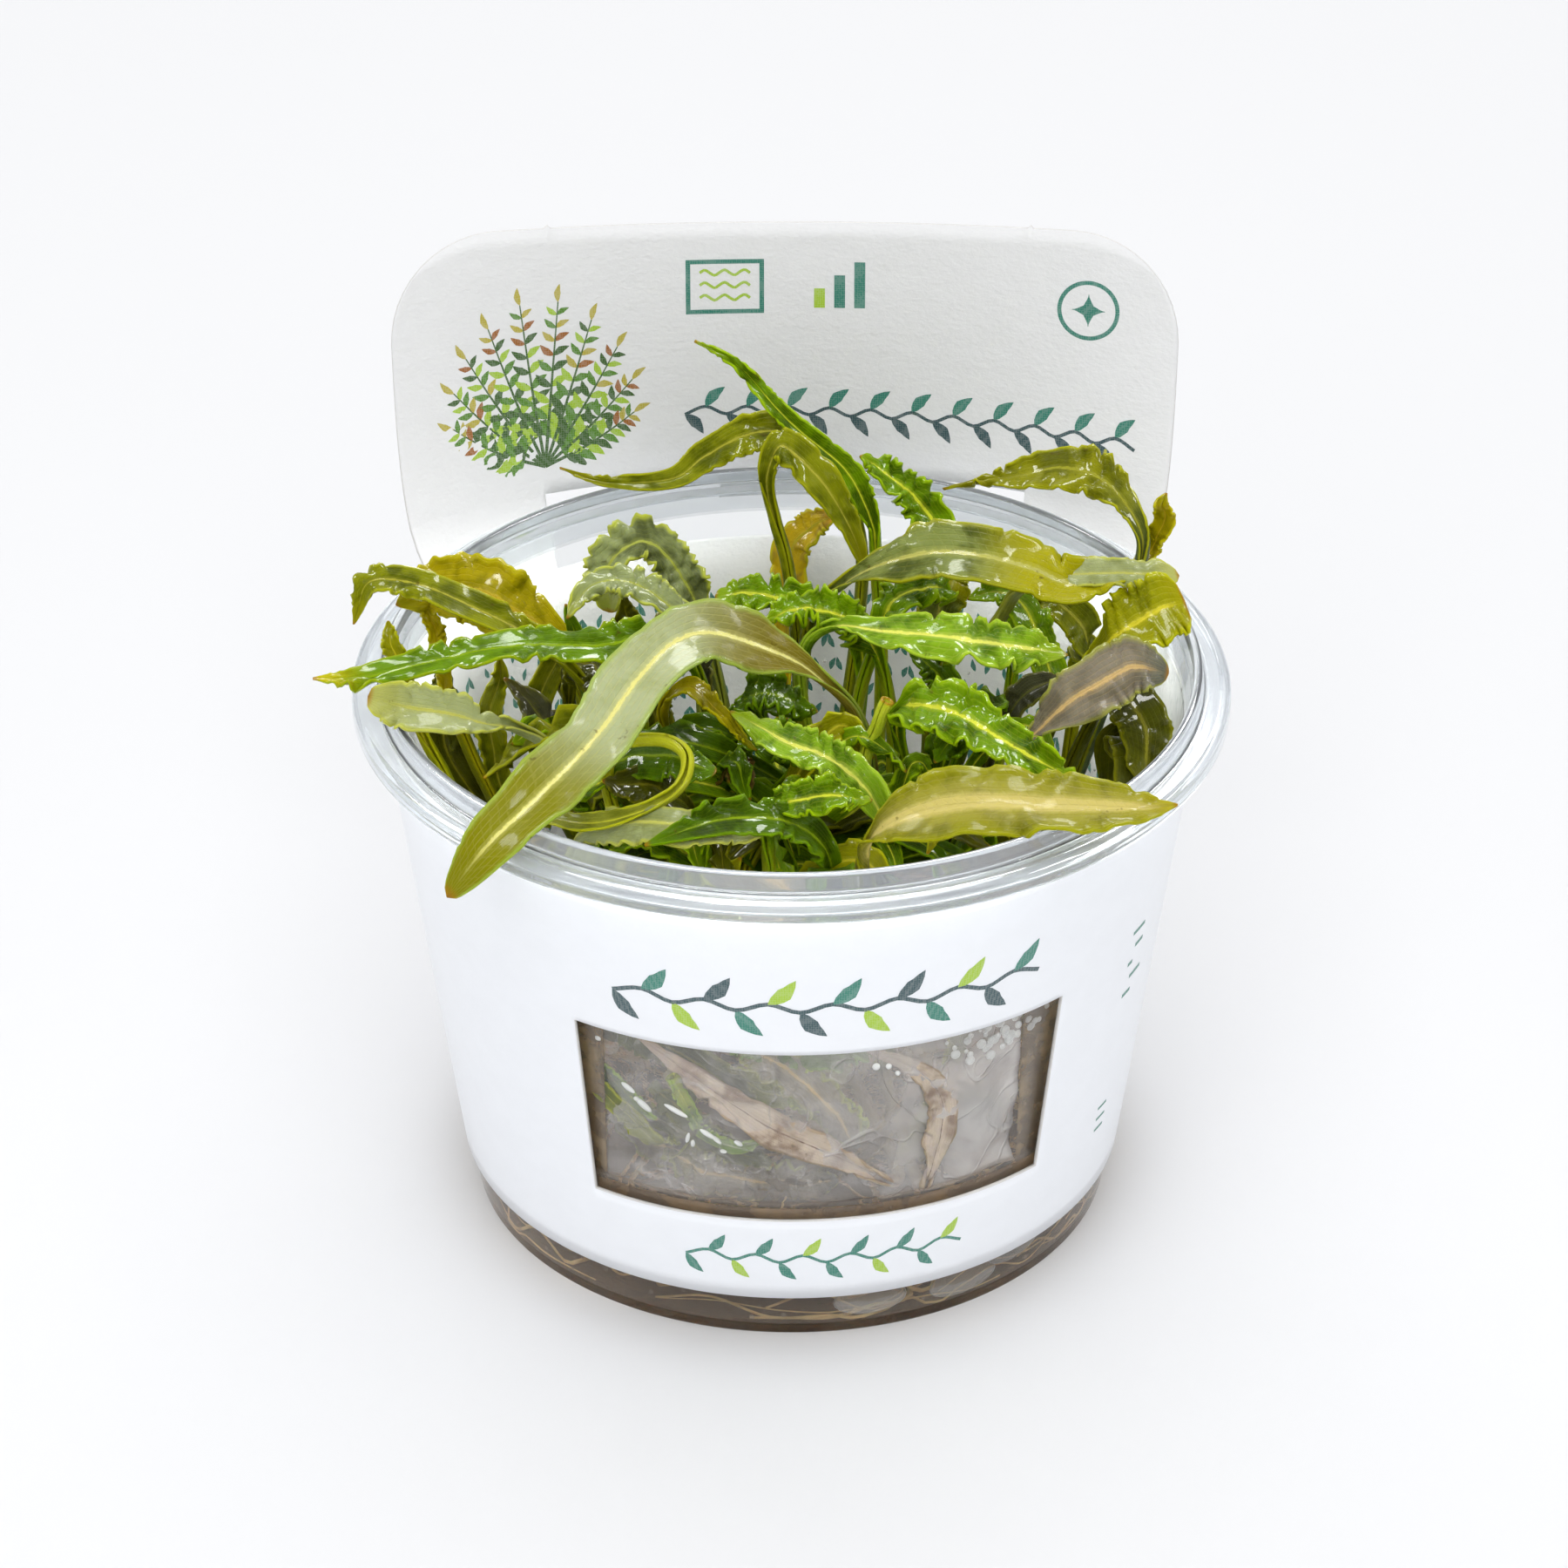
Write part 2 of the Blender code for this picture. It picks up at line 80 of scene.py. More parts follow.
# Card sleeve as a flat blank: s runs round the cup from the back, z is height
CARD = 0.45
SLEEVE_RADIUS = 37.55
SLEEVE_SLOPE = 0.138
SLEEVE_BOTTOM = 6.2
SLEEVE_TOP = 61.0
BACK_RADIUS = 46.0
WINDOW_LOW = 17.9
WINDOW_HIGH = 42.6
WINDOW_LEFT_DEG = 33.2
WINDOW_RIGHT_DEG = 43.4
HEADER_TOP = 96.9
HEADER_SHIFT = -0.75
HEADER_HALF = 47.25
HEADER_CORNER = 13.0
NIBS = (-29.0, 28.5)
NIB_HALF = 0.4
NIB_REACH = 0.1
NIB_RISE = 0.35
SLOT_HALF = 29.5
SLOT_LOW = 58.0
SLOT_HIGH = 64.3
TAB_HALF = 8.1
TAB_LOW = 62.3
BEND_START = 55.0
BEND_END = 63.5
BEND_FADE = 18.0
HEADER_BACK = 50.7
HEADER_LEAN = 0.06
HEADER_RADIUS = 68.0
HEADER_RADIUS_GROWTH = 4.7

HALF_BLANK = math.pi * BACK_RADIUS
WINDOW_RIGHT_EDGE = HALF_BLANK - math.radians(WINDOW_RIGHT_DEG) * BACK_RADIUS
WINDOW_LEFT_EDGE = math.radians(WINDOW_LEFT_DEG) * BACK_RADIUS - HALF_BLANK

# Bending of light; the wetted wall and the gel are nearly even, so that they look joined
PLASTIC_IOR = 1.35
RIM_IOR = 1.45
WETTED_IOR = 1.01
GEL_IOR = 1.04
WATER_IOR = 1.33

# Lights and floor, in metres from the cup's foot
LIGHT_AIM = Vector((0.0, 0.0, 0.04))
KEY_PLACE = (0.0, 0.5, 1.15)
KEY_SIZE = 1.5
FILL_PLACE = (-0.06, -0.75, 0.95)
FILL_SIZE = 0.9
GLOSS_PLACES = {
    "gloss_back": (0.2, 0.8, 0.75),
    "gloss_left": (-0.7, 0.25, 0.7),
    "gloss_top": (-0.1, 0.15, 1.0),
    "gloss_right": (0.7, 0.1, 0.8),
}
GLOSS_SIZE = 0.34
FLOOR_HALF = 4.0
FLOOR_DROP = 0.00005

# Bubbles in the gel, as (turn from +X, height, width, tallness)
LENS_BUBBLES = (
    (-76.0, 4.2, 8.6, 4.4),
    (-58.0, 3.6, 9.0, 4.0),
    (-47.0, 6.0, 8.6, 5.0),
)
LENS_DEPTH = 0.5
GEL_BUBBLES = 40

# Painted highlights: near-white drops on the wall behind the window that stand for glints of light, as
# (turn from +X, height, width, tallness, tilt)
GLINTS = (
    (-116.5, 33.4, 1.9, 0.6, 30.0), (-114.0, 31.4, 2.3, 0.8, 35.0),
    (-115.2, 32.1, 0.7, 0.5, 0.0), (-108.5, 31.6, 3.0, 0.6, 24.0),
    (-103.5, 28.9, 2.0, 0.6, 30.0), (-102.0, 28.2, 1.4, 0.5, 40.0),
    (-106.8, 27.9, 0.5, 1.4, 12.0), (-106.0, 27.2, 0.5, 0.9, 0.0),
    (-98.5, 28.0, 1.1, 0.5, 30.0), (-101.0, 26.6, 0.8, 0.4, 10.0),
    (-77.0, 38.8, 0.9, 0.9, 0.0), (-75.0, 38.6, 0.7, 0.7, 0.0),
    (-73.5, 37.4, 0.6, 0.6, 0.0), (-121.0, 39.5, 0.8, 0.7, 0.0),
)
GLINT_DEPTH = 0.6
FOAM_BUBBLES = 46
FOAM_TURN = -57.0
FOAM_HEIGHT = 39.8
BACK_DROPLETS = 60

# Film and brown smears behind the window, the film's veil partly painted reflection and the smears
# partly painted shade; insets are in degrees
FILM_SKIN = 0.04
FILM_LEFT_INSETS = (0.9, 3.8)
FILM_RIGHT_INSETS = (2.8, 5.9)
FILM_LOW = WINDOW_LOW + 1.0
FILM_HIGH = WINDOW_HIGH + 2.5
SMEAR_AND_PAINTED_SHADE_OVERHANG = 4.0
SMEAR_AND_PAINTED_SHADE_GAP = 0.35

# Plants
CROWN_BASE = 19.4
LEAF_FACE = Vector((0.0, -0.45, 0.9))
CURVE_STEP = 0.015
STALK_WIDTH = 1.3
STALK_RADIUS = 0.65
STALK_ROLL = 3.05
TIP_WIDTH = 0.2
LEAF_MARGIN = 0.4
FILLER_MARGIN = 0.6
FILLER_ROOT = 23.0
FILLER_COLUMNS = 6
FILLER_SPREAD = 36.0
FILLER_FINISHES = (
    "deep_green", "deep_green", "bright_green", "bright_green", "bright_green",
    "dark_olive", "olive", "yellow_green", "brown",
)
WINDOW_LEAF_GAP = 2.1
WINDOW_LEAF_STEP = 0.2
SEED_STEP = 0.618
SMALL_SEED = 31.0
WINDOW_SEED = 51.0
FILLER_SEED_STEP = 0.37
CROWNS = {
    "crown_left": (-14, 2),
    "crown_back": (0, 17),
    "crown_middle": (9, 3),
    "crown_right": (24, 6),
    "crown_front": (5, -13),
    "crown_front_left": (-12, -13),
}


class Finish(NamedTuple):
    """Colours of one kind of leaf, from its stalk to its tip, and its share of midrib."""

    slot: str
    near: tuple
    blade: tuple
    shade: tuple
    edge: tuple
    midrib: tuple
    far: tuple
    rib: float
    mottle: float
    near_end: float = 0.3
    far_start: float = 0.85
    wet: float = 0.5


class Strap(NamedTuple):
    """One strap leaf: finish, widest part and midrib in mm, then shares, waves and turns in degrees."""

    finish: str
    width: float
    route: tuple
    stalk: float = 0.35
    tip: float = 0.3
    point: float = 0.95
    wave: float = 0.5
    waves: float = 12.0
    fold: float = 0.1
    turns: tuple = (0, 0)
    pressed: bool = False


FINISHES = {
    "bright_green": Finish(
        "leaf_green", (0.336, 0.384, 0.012), (0.16, 0.30, 0.001), (0.035, 0.085, 0.001),
        (0.32, 0.50, 0.003), (0.78, 0.82, 0.05), (0.24, 0.38, 0.002), 0.11, 0.9),
    "light_green": Finish(
        "leaf_green", (0.336, 0.384, 0.012), (0.24, 0.41, 0.012), (0.06, 0.14, 0.002),
        (0.42, 0.62, 0.03), (0.86, 0.88, 0.14), (0.30, 0.44, 0.004), 0.13, 0.9),
    "deep_green": Finish(
        "leaf_green", (0.156, 0.204, 0.006), (0.072, 0.15, 0.001), (0.018, 0.036, 0.001),
        (0.156, 0.288, 0.002), (0.288, 0.408, 0.01), (0.108, 0.216, 0.001), 0.10, 0.8),
    "yellow_tip_green": Finish(
        "leaf_green", (0.144, 0.168, 0.003), (0.144, 0.276, 0.001), (0.042, 0.09, 0.001),
        (0.312, 0.408, 0.002), (0.288, 0.432, 0.005), (0.6, 0.516, 0.01), 0.10, 0.8),
    "yellow_green": Finish(
        "leaf_olive", (0.204, 0.24, 0.003), (0.28, 0.28, 0.001), (0.13, 0.145, 0.001),
        (0.50, 0.50, 0.004), (0.66, 0.58, 0.03), (0.33, 0.31, 0.002), 0.10, 0.8, 0.3, 0.85, 0.25),
    "olive": Finish(
        "leaf_olive", (0.13, 0.155, 0.006), (0.23, 0.25, 0.003), (0.075, 0.095, 0.001),
        (0.38, 0.39, 0.005), (0.48, 0.45, 0.05), (0.26, 0.25, 0.002), 0.09, 0.9),
    "dark_stem_olive": Finish(
        "leaf_olive", (0.055, 0.085, 0.03), (0.25, 0.25, 0.004), (0.09, 0.10, 0.001),
        (0.42, 0.42, 0.005), (0.36, 0.35, 0.03), (0.26, 0.24, 0.002), 0.09, 0.9, 0.6),
    "dark_olive": Finish(
        "leaf_olive", (0.084, 0.096, 0.005), (0.06, 0.066, 0.001), (0.022, 0.024, 0.001),
        (0.156, 0.156, 0.002), (0.204, 0.192, 0.012), (0.084, 0.084, 0.001), 0.10, 0.8),
    "pale_rib_olive": Finish(
        "leaf_olive", (0.14, 0.13, 0.008), (0.27, 0.26, 0.008), (0.14, 0.14, 0.003),
        (0.34, 0.34, 0.006), (0.60, 0.50, 0.15), (0.40, 0.34, 0.006), 0.36, 0.8, 0.42, 0.85, 0.15),
    "yellow_olive": Finish(
        "leaf_olive", (0.168, 0.18, 0.003), (0.42, 0.34, 0.002), (0.2, 0.18, 0.001),
        (0.5, 0.44, 0.003), (0.552, 0.408, 0.024), (0.336, 0.312, 0.002), 0.09, 0.8),
    "grey_to_yellow": Finish(
        "leaf_olive", (0.13, 0.15, 0.01), (0.21, 0.25, 0.06), (0.065, 0.085, 0.008),
        (0.36, 0.36, 0.005), (0.52, 0.50, 0.12), (0.37, 0.34, 0.001), 0.10, 1.0, 0.3, 0.55, 0.4),
    "grey_olive": Finish(
        "leaf_olive", (0.19, 0.155, 0.012), (0.40, 0.44, 0.23), (0.29, 0.32, 0.12),
        (0.30, 0.42, 0.05), (0.82, 0.76, 0.24), (0.215, 0.21, 0.003), 0.10, 0.6, 0.52, 0.65, 0.16),
    "grey_fold": Finish(
        "leaf_grey_brown", (0.22, 0.24, 0.03), (0.38, 0.42, 0.19), (0.20, 0.23, 0.06),
        (0.52, 0.54, 0.06), (0.56, 0.56, 0.12), (0.44, 0.45, 0.12), 0.12, 0.8, 0.3, 0.85, 0.2),
    "grey_brown": Finish(
        "leaf_grey_brown", (0.156, 0.144, 0.012), (0.27, 0.235, 0.17), (0.14, 0.12, 0.08),
        (0.33, 0.35, 0.04), (0.70, 0.48, 0.20), (0.12, 0.13, 0.10), 0.13, 0.8, 0.3, 0.85, 0.3),
    "dark_grey": Finish(
        "leaf_grey_brown", (0.096, 0.102, 0.012), (0.084, 0.084, 0.042), (0.036, 0.036, 0.017),
        (0.18, 0.18, 0.024), (0.18, 0.18, 0.036), (0.12, 0.108, 0.024), 0.12, 0.8),
    "silver_green": Finish(
        "leaf_green", (0.18, 0.228, 0.012), (0.34, 0.39, 0.17), (0.10, 0.12, 0.04),
        (0.55, 0.60, 0.06), (0.50, 0.54, 0.10), (0.34, 0.38, 0.06), 0.11, 0.9),
    "loop_yellow": Finish(
        "leaf_olive", (0.66, 0.68, 0.02), (0.30, 0.32, 0.03), (0.12, 0.14, 0.004),
        (0.50, 0.52, 0.01), (0.70, 0.70, 0.05), (0.26, 0.26, 0.01), 0.10, 0.8, 0.78, 0.9, 0.3),
    "pale_stalk": Finish(
        "leaf_green", (0.696, 0.744, 0.06), (0.48, 0.6, 0.024), (0.336, 0.432, 0.012),
        (0.54, 0.624, 0.024), (0.84, 0.84, 0.12), (0.6, 0.66, 0.036), 0.15, 0.5),
    "orange": Finish(
        "leaf_tan", (0.168, 0.168, 0.006), (0.624, 0.432, 0.01), (0.264, 0.18, 0.036),
        (0.576, 0.528, 0.012), (0.504, 0.42, 0.024), (0.66, 0.288, 0.012), 0.09, 0.9),
    "brown": Finish(
        "leaf_tan", (0.108, 0.078, 0.012), (0.108, 0.06, 0.012), (0.042, 0.024, 0.006),
        (0.216, 0.144, 0.024), (0.24, 0.156, 0.036), (0.168, 0.108, 0.024), 0.10, 0.9),
    "wet_tan": Finish(
        "leaf_tan", (0.32, 0.24, 0.13), (0.66, 0.53, 0.42), (0.26, 0.17, 0.12),
        (0.36, 0.25, 0.17), (0.22, 0.13, 0.09), (0.52, 0.38, 0.30), 0.03, 1.0, 0.3, 0.85, 0.3),
}

# Leaves that stand for the solid ones, by node
LEAVES = {
    "leaf_long_front_left": Strap("grey_olive", 7.9, (
        (7, -3, 25), (9, -1, 44), (8, -3, 60), (3, -6.5, 69), (-3, -7.5, 73), (-9, -8, 75.4),
        (-13, -10.5, 75.8), (-17, -18, 75), (-21, -25, 73), (-25, -31, 71), (-29, -36.2, 69.2),
        (-33, -40.6, 67), (-37.2, -41.5, 61.5)), stalk=0.27, tip=0.27, point=0.55, wave=0.3, waves=9),
    "leaf_green_left": Strap("yellow_tip_green", 5.0, (
        (-12, 5, 25), (-9, 5, 45), (-10, 4, 62), (-15, 0, 70), (-22, -3, 71), (-30, -5, 72),
        (-38, -6, 71), (-47, -8, 70), (-54, -9, 70)), tip=0.35, wave=0.85, waves=19),
    "leaf_over_left_rim": Strap("grey_fold", 5.4, (
        (-16, -1, 25), (-21, -4, 42), (-26, -7, 58), (-31, -11, 65), (-35, -16, 68.5),
        (-40, -16, 70), (-47, -13, 70)), stalk=0.6, point=0.45, tip=0.14, wave=0.7, waves=9,
        fold=0.35, turns=(0, -10, -25)),
    "leaf_two_hump": Strap("yellow_olive", 8.2, (
        (-14, 6, 25), (-19, 9, 48), (-26, 8, 64), (-32, 6, 71), (-36, 8, 72), (-41, 8, 72),
        (-45, 6, 71)), wave=0.9, waves=6, fold=0.0, turns=(0, -15, -35)),
    "leaf_curled_tip": Strap("olive", 4.0, (
        (-17, 3, 25), (-17, 4, 45), (-23, 1, 62), (-29, 0, 70), (-36, 0, 74), (-42, 3, 75),
        (-46.5, 3.5, 76), (-49, 3, 74.5), (-50, 2, 71)), tip=0.4, wave=0.5, waves=10),
    "leaf_grey_fold": Strap("dark_grey", 4.5, (
        (-18, 0, 24), (-22, 2, 42), (-26, 2, 54), (-33, 5, 62)), fold=0.3, waves=8),
    "leaf_left_strap": Strap("olive", 3.2, (
        (-19, 6, 24), (-28, 12, 42), (-30, 13, 52), (-27, 13, 60), (-23, 13, 63)),
        fold=0.3, waves=8, turns=(0, 20, 40)),
    "leaf_left_wall": Strap("dark_olive", 4.4, (
        (-21, -2, 24), (-34, 3, 42), (-40, 6, 54), (-40, 9, 62)), waves=8),
    "leaf_left_inner": Strap("olive", 3.2, (
        (-20, 4, 24), (-31, 9, 38), (-35, 12, 50), (-34, 14, 60)), waves=8),
    "leaf_curled_back": Strap("silver_green", 5.0, (
        (-6, 17, 25), (-10, 20, 42), (-11, 23, 59), (-13, 23, 65), (-17, 24, 69.5),
        (-21, 23, 67), (-21, 22, 61)), point=0.5, tip=0.2, wave=1.0, waves=17, fold=0.5,
        turns=(0, -10, 20)),
    "leaf_grey_arch": Strap("silver_green", 4.0, (
        (-5, 14, 25), (-7, 15, 48), (-10, 15, 62), (-14, 14, 66), (-18, 15, 69),
        (-22, 15, 69), (-26, 12, 66)), wave=0.8, waves=14),
    "leaf_crinkled_back": Strap("bright_green", 4.4, (
        (7, 14, 25), (8, 17, 45), (8, 18, 60), (2, 17, 65), (-4, 18, 66), (-9, 19, 65)),
        point=0.5, tip=0.2, wave=1.25, waves=13),
    "leaf_long_back_left": Strap("olive", 4.6, (
        (4, 22, 25), (6, 28, 42), (8, 35, 62), (4, 35, 74), (-1, 32, 79.5), (-6, 29, 80.5),
        (-10, 28, 78.5), (-14, 26, 76.5), (-22, 27, 75.6), (-27, 30, 76)),
        tip=0.55, point=1.3, wave=0.45, waves=12, fold=0.2, turns=(0, -10, -25, -25)),
    "leaf_back_arch": Strap("olive", 4.6, (
        (0, 21, 25), (1, 22, 48), (0, 24, 64), (-2, 25, 72), (-3, 25, 78), (-1, 24, 82),
        (3, 23, 79), (6, 23, 73), (9, 22, 66)), stalk=0.5, wave=0.5, waves=12, fold=0.2),
    "leaf_tall_pointed": Strap("bright_green", 3.4, (
        (9, 21, 25), (11, 25, 48), (10, 27, 66), (9, 27, 71), (6, 27, 77), (1, 28, 82),
        (-3, 29, 86), (-7, 30, 90), (-11, 30, 92.5)),
        tip=0.75, point=1.1, wave=0.35, waves=13, fold=0.4, turns=(0, -20, -30)),
    "leaf_crinkled_rim": Strap("bright_green", 4.6, (
        (14, 20, 25), (18, 26, 48), (18, 29, 64), (15, 31, 71), (12, 32, 74), (8, 33, 76)),
        wave=1.1, waves=10),
    "leaf_back_right": Strap("dark_stem_olive", 7.2, (
        (26, 11, 25), (34, 14, 44), (39, 17, 60), (40.5, 18, 68), (40.5, 20, 73), (37, 25, 76.5),
        (32, 28, 77), (27, 30, 75), (23, 31, 74), (18, 34, 71)),
        stalk=0.5, tip=0.45, point=2.2, wave=0.9, waves=16, fold=0.1, turns=(0, 0, -10, -10)),
    "leaf_orange_back": Strap("orange", 4.6, (
        (-3, 22, 24), (-1, 31, 42), (0, 38, 58), (2, 39, 63), (6, 39, 65)), wave=0.6, waves=7),
    "leaf_big_arch": Strap("grey_to_yellow", 7.8, (
        (2, 12, 27), (1, 14, 50), (2, 14, 64), (6, 12, 70.5), (11, 9, 75), (17, 8, 76.8),
        (22, 7, 76.8), (27, 7, 75.2), (31.5, 7, 73.4), (37, 9, 73.5), (44, 12, 71)),
        tip=0.32, point=1.1, wave=0.5, waves=8),
    "leaf_behind_arch": Strap("olive", 4.8, (
        (22, 10, 25), (29, 16, 45), (34, 17, 56), (34, 15, 62), (31, 16, 66), (27, 19, 67)),
        waves=9),
    "leaf_serrated_right": Strap("yellow_green", 8.6, (
        (28, 7, 25), (32, 8, 45), (34, 7, 61), (37, 4, 68), (41, 4, 71), (45, 5, 72)),
        stalk=0.5, point=0.35, tip=0.1, wave=0.7, waves=18),
    "leaf_grey_right": Strap("grey_brown", 7.0, (
        (26, 2, 25), (25, -6, 45), (26, -9, 60), (28.5, -9, 64), (33, -8, 68), (38, -6, 69.5),
        (42.5, -6, 69)), stalk=0.5, point=0.6, tip=0.2, wave=0.7, waves=10, turns=(0, 0, 20, 25)),
    "leaf_dark_right": Strap("dark_olive", 6.0, (
        (29, 4, 25), (35, 0, 42), (38, -3, 58), (39, -9, 60), (39, -14, 54)),
        tip=0.25, point=0.6, wave=0.25, waves=6),
    "leaf_small_green": Strap("bright_green", 4.2, (
        (20, 6, 25), (26, 5, 46), (30, 6, 60), (28, 8, 66), (25, 12, 69), (20, 13, 68)),
        wave=0.8, waves=9, fold=0.2),
    "leaf_green_midrib": Strap("light_green", 6.6, (
        (9, 8, 25), (3, 8, 48), (1, 7, 63), (5, 5, 69), (11, 0, 71), (20, -4, 72),
        (26, -4, 71), (31, -2, 69)), stalk=0.5, wave=1.2, waves=10, fold=0.05),
    "leaf_green_right": Strap("bright_green", 6.4, (
        (13, 2, 25), (14, -3, 48), (12, -6, 63), (15, -11, 68), (20, -16, 69),
        (26, -20, 67), (33, -21, 63)), wave=1.1, waves=11, fold=0.05),
    "leaf_front_right": Strap("pale_rib_olive", 9.4, (
        (9, -15, 25), (9, -22, 42), (8, -28, 58), (10, -32, 64.6), (18, -33.4, 68.3),
        (28, -35.2, 69.3), (36, -34.2, 68.6), (42, -32, 67.4)),
        stalk=0.42, tip=0.4, point=1.1, wave=0.5, waves=12),
    "leaf_green_front": Strap("light_green", 5.2, (
        (8, -10, 25), (11, -14, 45), (9, -18, 60), (4, -20, 66), (-1, -18, 67),
        (-7, -8, 65)), wave=1.0, waves=9),
    "leaf_front_bottom": Strap("deep_green", 4.6, (
        (4, -17, 25), (4, -20, 42), (4, -24, 56), (-1, -28, 63), (-8, -31, 65),
        (-16, -33, 63)), wave=0.6, waves=13),
    "leaf_yellow_loop": Strap("loop_yellow", 4.6, (
        (-12, -9, 24), (-17, -10, 40), (-20, -14, 56), (-19.5, -16.4, 65.2), (-15, -17, 66.6),
        (-11.8, -20.5, 66.4), (-12.6, -25.5, 65.5), (-17.5, -28.5, 64.2), (-23, -28.5, 63),
        (-29, -24, 61.5)), stalk=0.82, tip=0.2, wave=0.5, waves=14),
    "leaf_window_tan": Strap("wet_tan", 5.0, (
        (7, -16, 22), (12, -31, 19.5), (10, -37.0, 22), (2, -39.0, 28), (-6, -39.0, 32.5),
        (-17, -36.8, 41)),
        stalk=0.48, tip=0.4, wave=0.4, waves=10, fold=0.0, pressed=True),
    "leaf_window_curved": Strap("wet_tan", 3.6, (
        (10, -13, 23), (14, -33.5, 19), (16, -35.8, 25), (16.6, -36.2, 31), (14.4, -37.6, 36),
        (8, -40, 41)),
        stalk=0.34, tip=0.5, wave=0.4, waves=8, fold=0.0, pressed=True),
    "leaf_window_green": Strap("olive", 2.6, (
        (-10, -16, 23), (-14, -33, 24), (-19.6, -34.4, 30), (-26, -31.5, 36)),
        stalk=0.3, wave=0.4, waves=9, fold=0.0, pressed=True),
    "leaf_left_front_inner": Strap("grey_brown", 4.4, (
        (-15, -15, 24), (-24, -24, 36), (-29, -26, 48), (-32, -23, 57)), wave=0.9, waves=10),
    "leaf_dark_centre": Strap("deep_green", 4.6, (
        (-3, 12, 24), (-5, 9, 44), (-6, 4, 57), (-2, 1, 61), (3, 1, 60)), wave=1.0, waves=12),
    "leaf_brown_crumpled": Strap("brown", 4.4, (
        (-9, -1, 25), (-8, -3, 42), (-11, -2, 52), (-16, 0, 55)), wave=1.0, waves=11),
    "leaf_low_centre": Strap("deep_green", 4.4, (
        (2, -10, 25), (0, -9, 42), (-3, -10, 53), (-7, -11, 58)), wave=0.9, waves=10),
    "leaf_low_right": Strap("deep_green", 4.4, (
        (22, 1, 24), (21, -10, 40), (21, -14, 53), (24, -14, 60)), wave=0.9, waves=10),
    "leaf_low_front_right": Strap("olive", 4.4, (
        (10, -17, 24), (18, -23, 38), (22, -25, 50), (25, -26, 58)), wave=0.7, waves=9),
    "leaf_low_right_wall": Strap("dark_olive", 4.4, (
        (26, -1, 23), (33, -9, 38), (34, -15, 48), (33, -19, 56)), wave=0.6, waves=8),
    "leaf_low_front": Strap("olive", 4.4, (
        (-13, -17, 24), (-12, -24, 38), (-10, -27, 50), (-6, -26, 57)), wave=0.8, waves=9),
    "leaf_low_left": Strap("grey_brown", 4.4, (
        (-18, -4, 22), (-29, -10, 36), (-33, -13, 48), (-36, -14, 57)), wave=0.8, waves=9),
    "leaf_low_back": Strap("dark_olive", 4.4, (
        (-4, 20, 24), (-14, 26, 38), (-18, 29, 50), (-20, 32, 58)), wave=0.6, waves=9),
    "leaf_low_back_left": Strap("dark_grey", 3.8, (
        (-12, 9, 23), (-20, 18, 38), (-25, 21, 50), (-28, 21, 58)), wave=0.6, waves=9),
    "leaf_low_right_side": Strap("bright_green", 3.8, (
        (29, 9, 23), (36, 8, 36), (39, 8, 48), (40, 6, 56)), wave=0.7, waves=10),
    "leaf_low_middle": Strap("deep_green", 4.4, (
        (13, 6, 25), (17, 10, 42), (18, 14, 54), (14, 16, 60)), wave=0.9, waves=10),
}

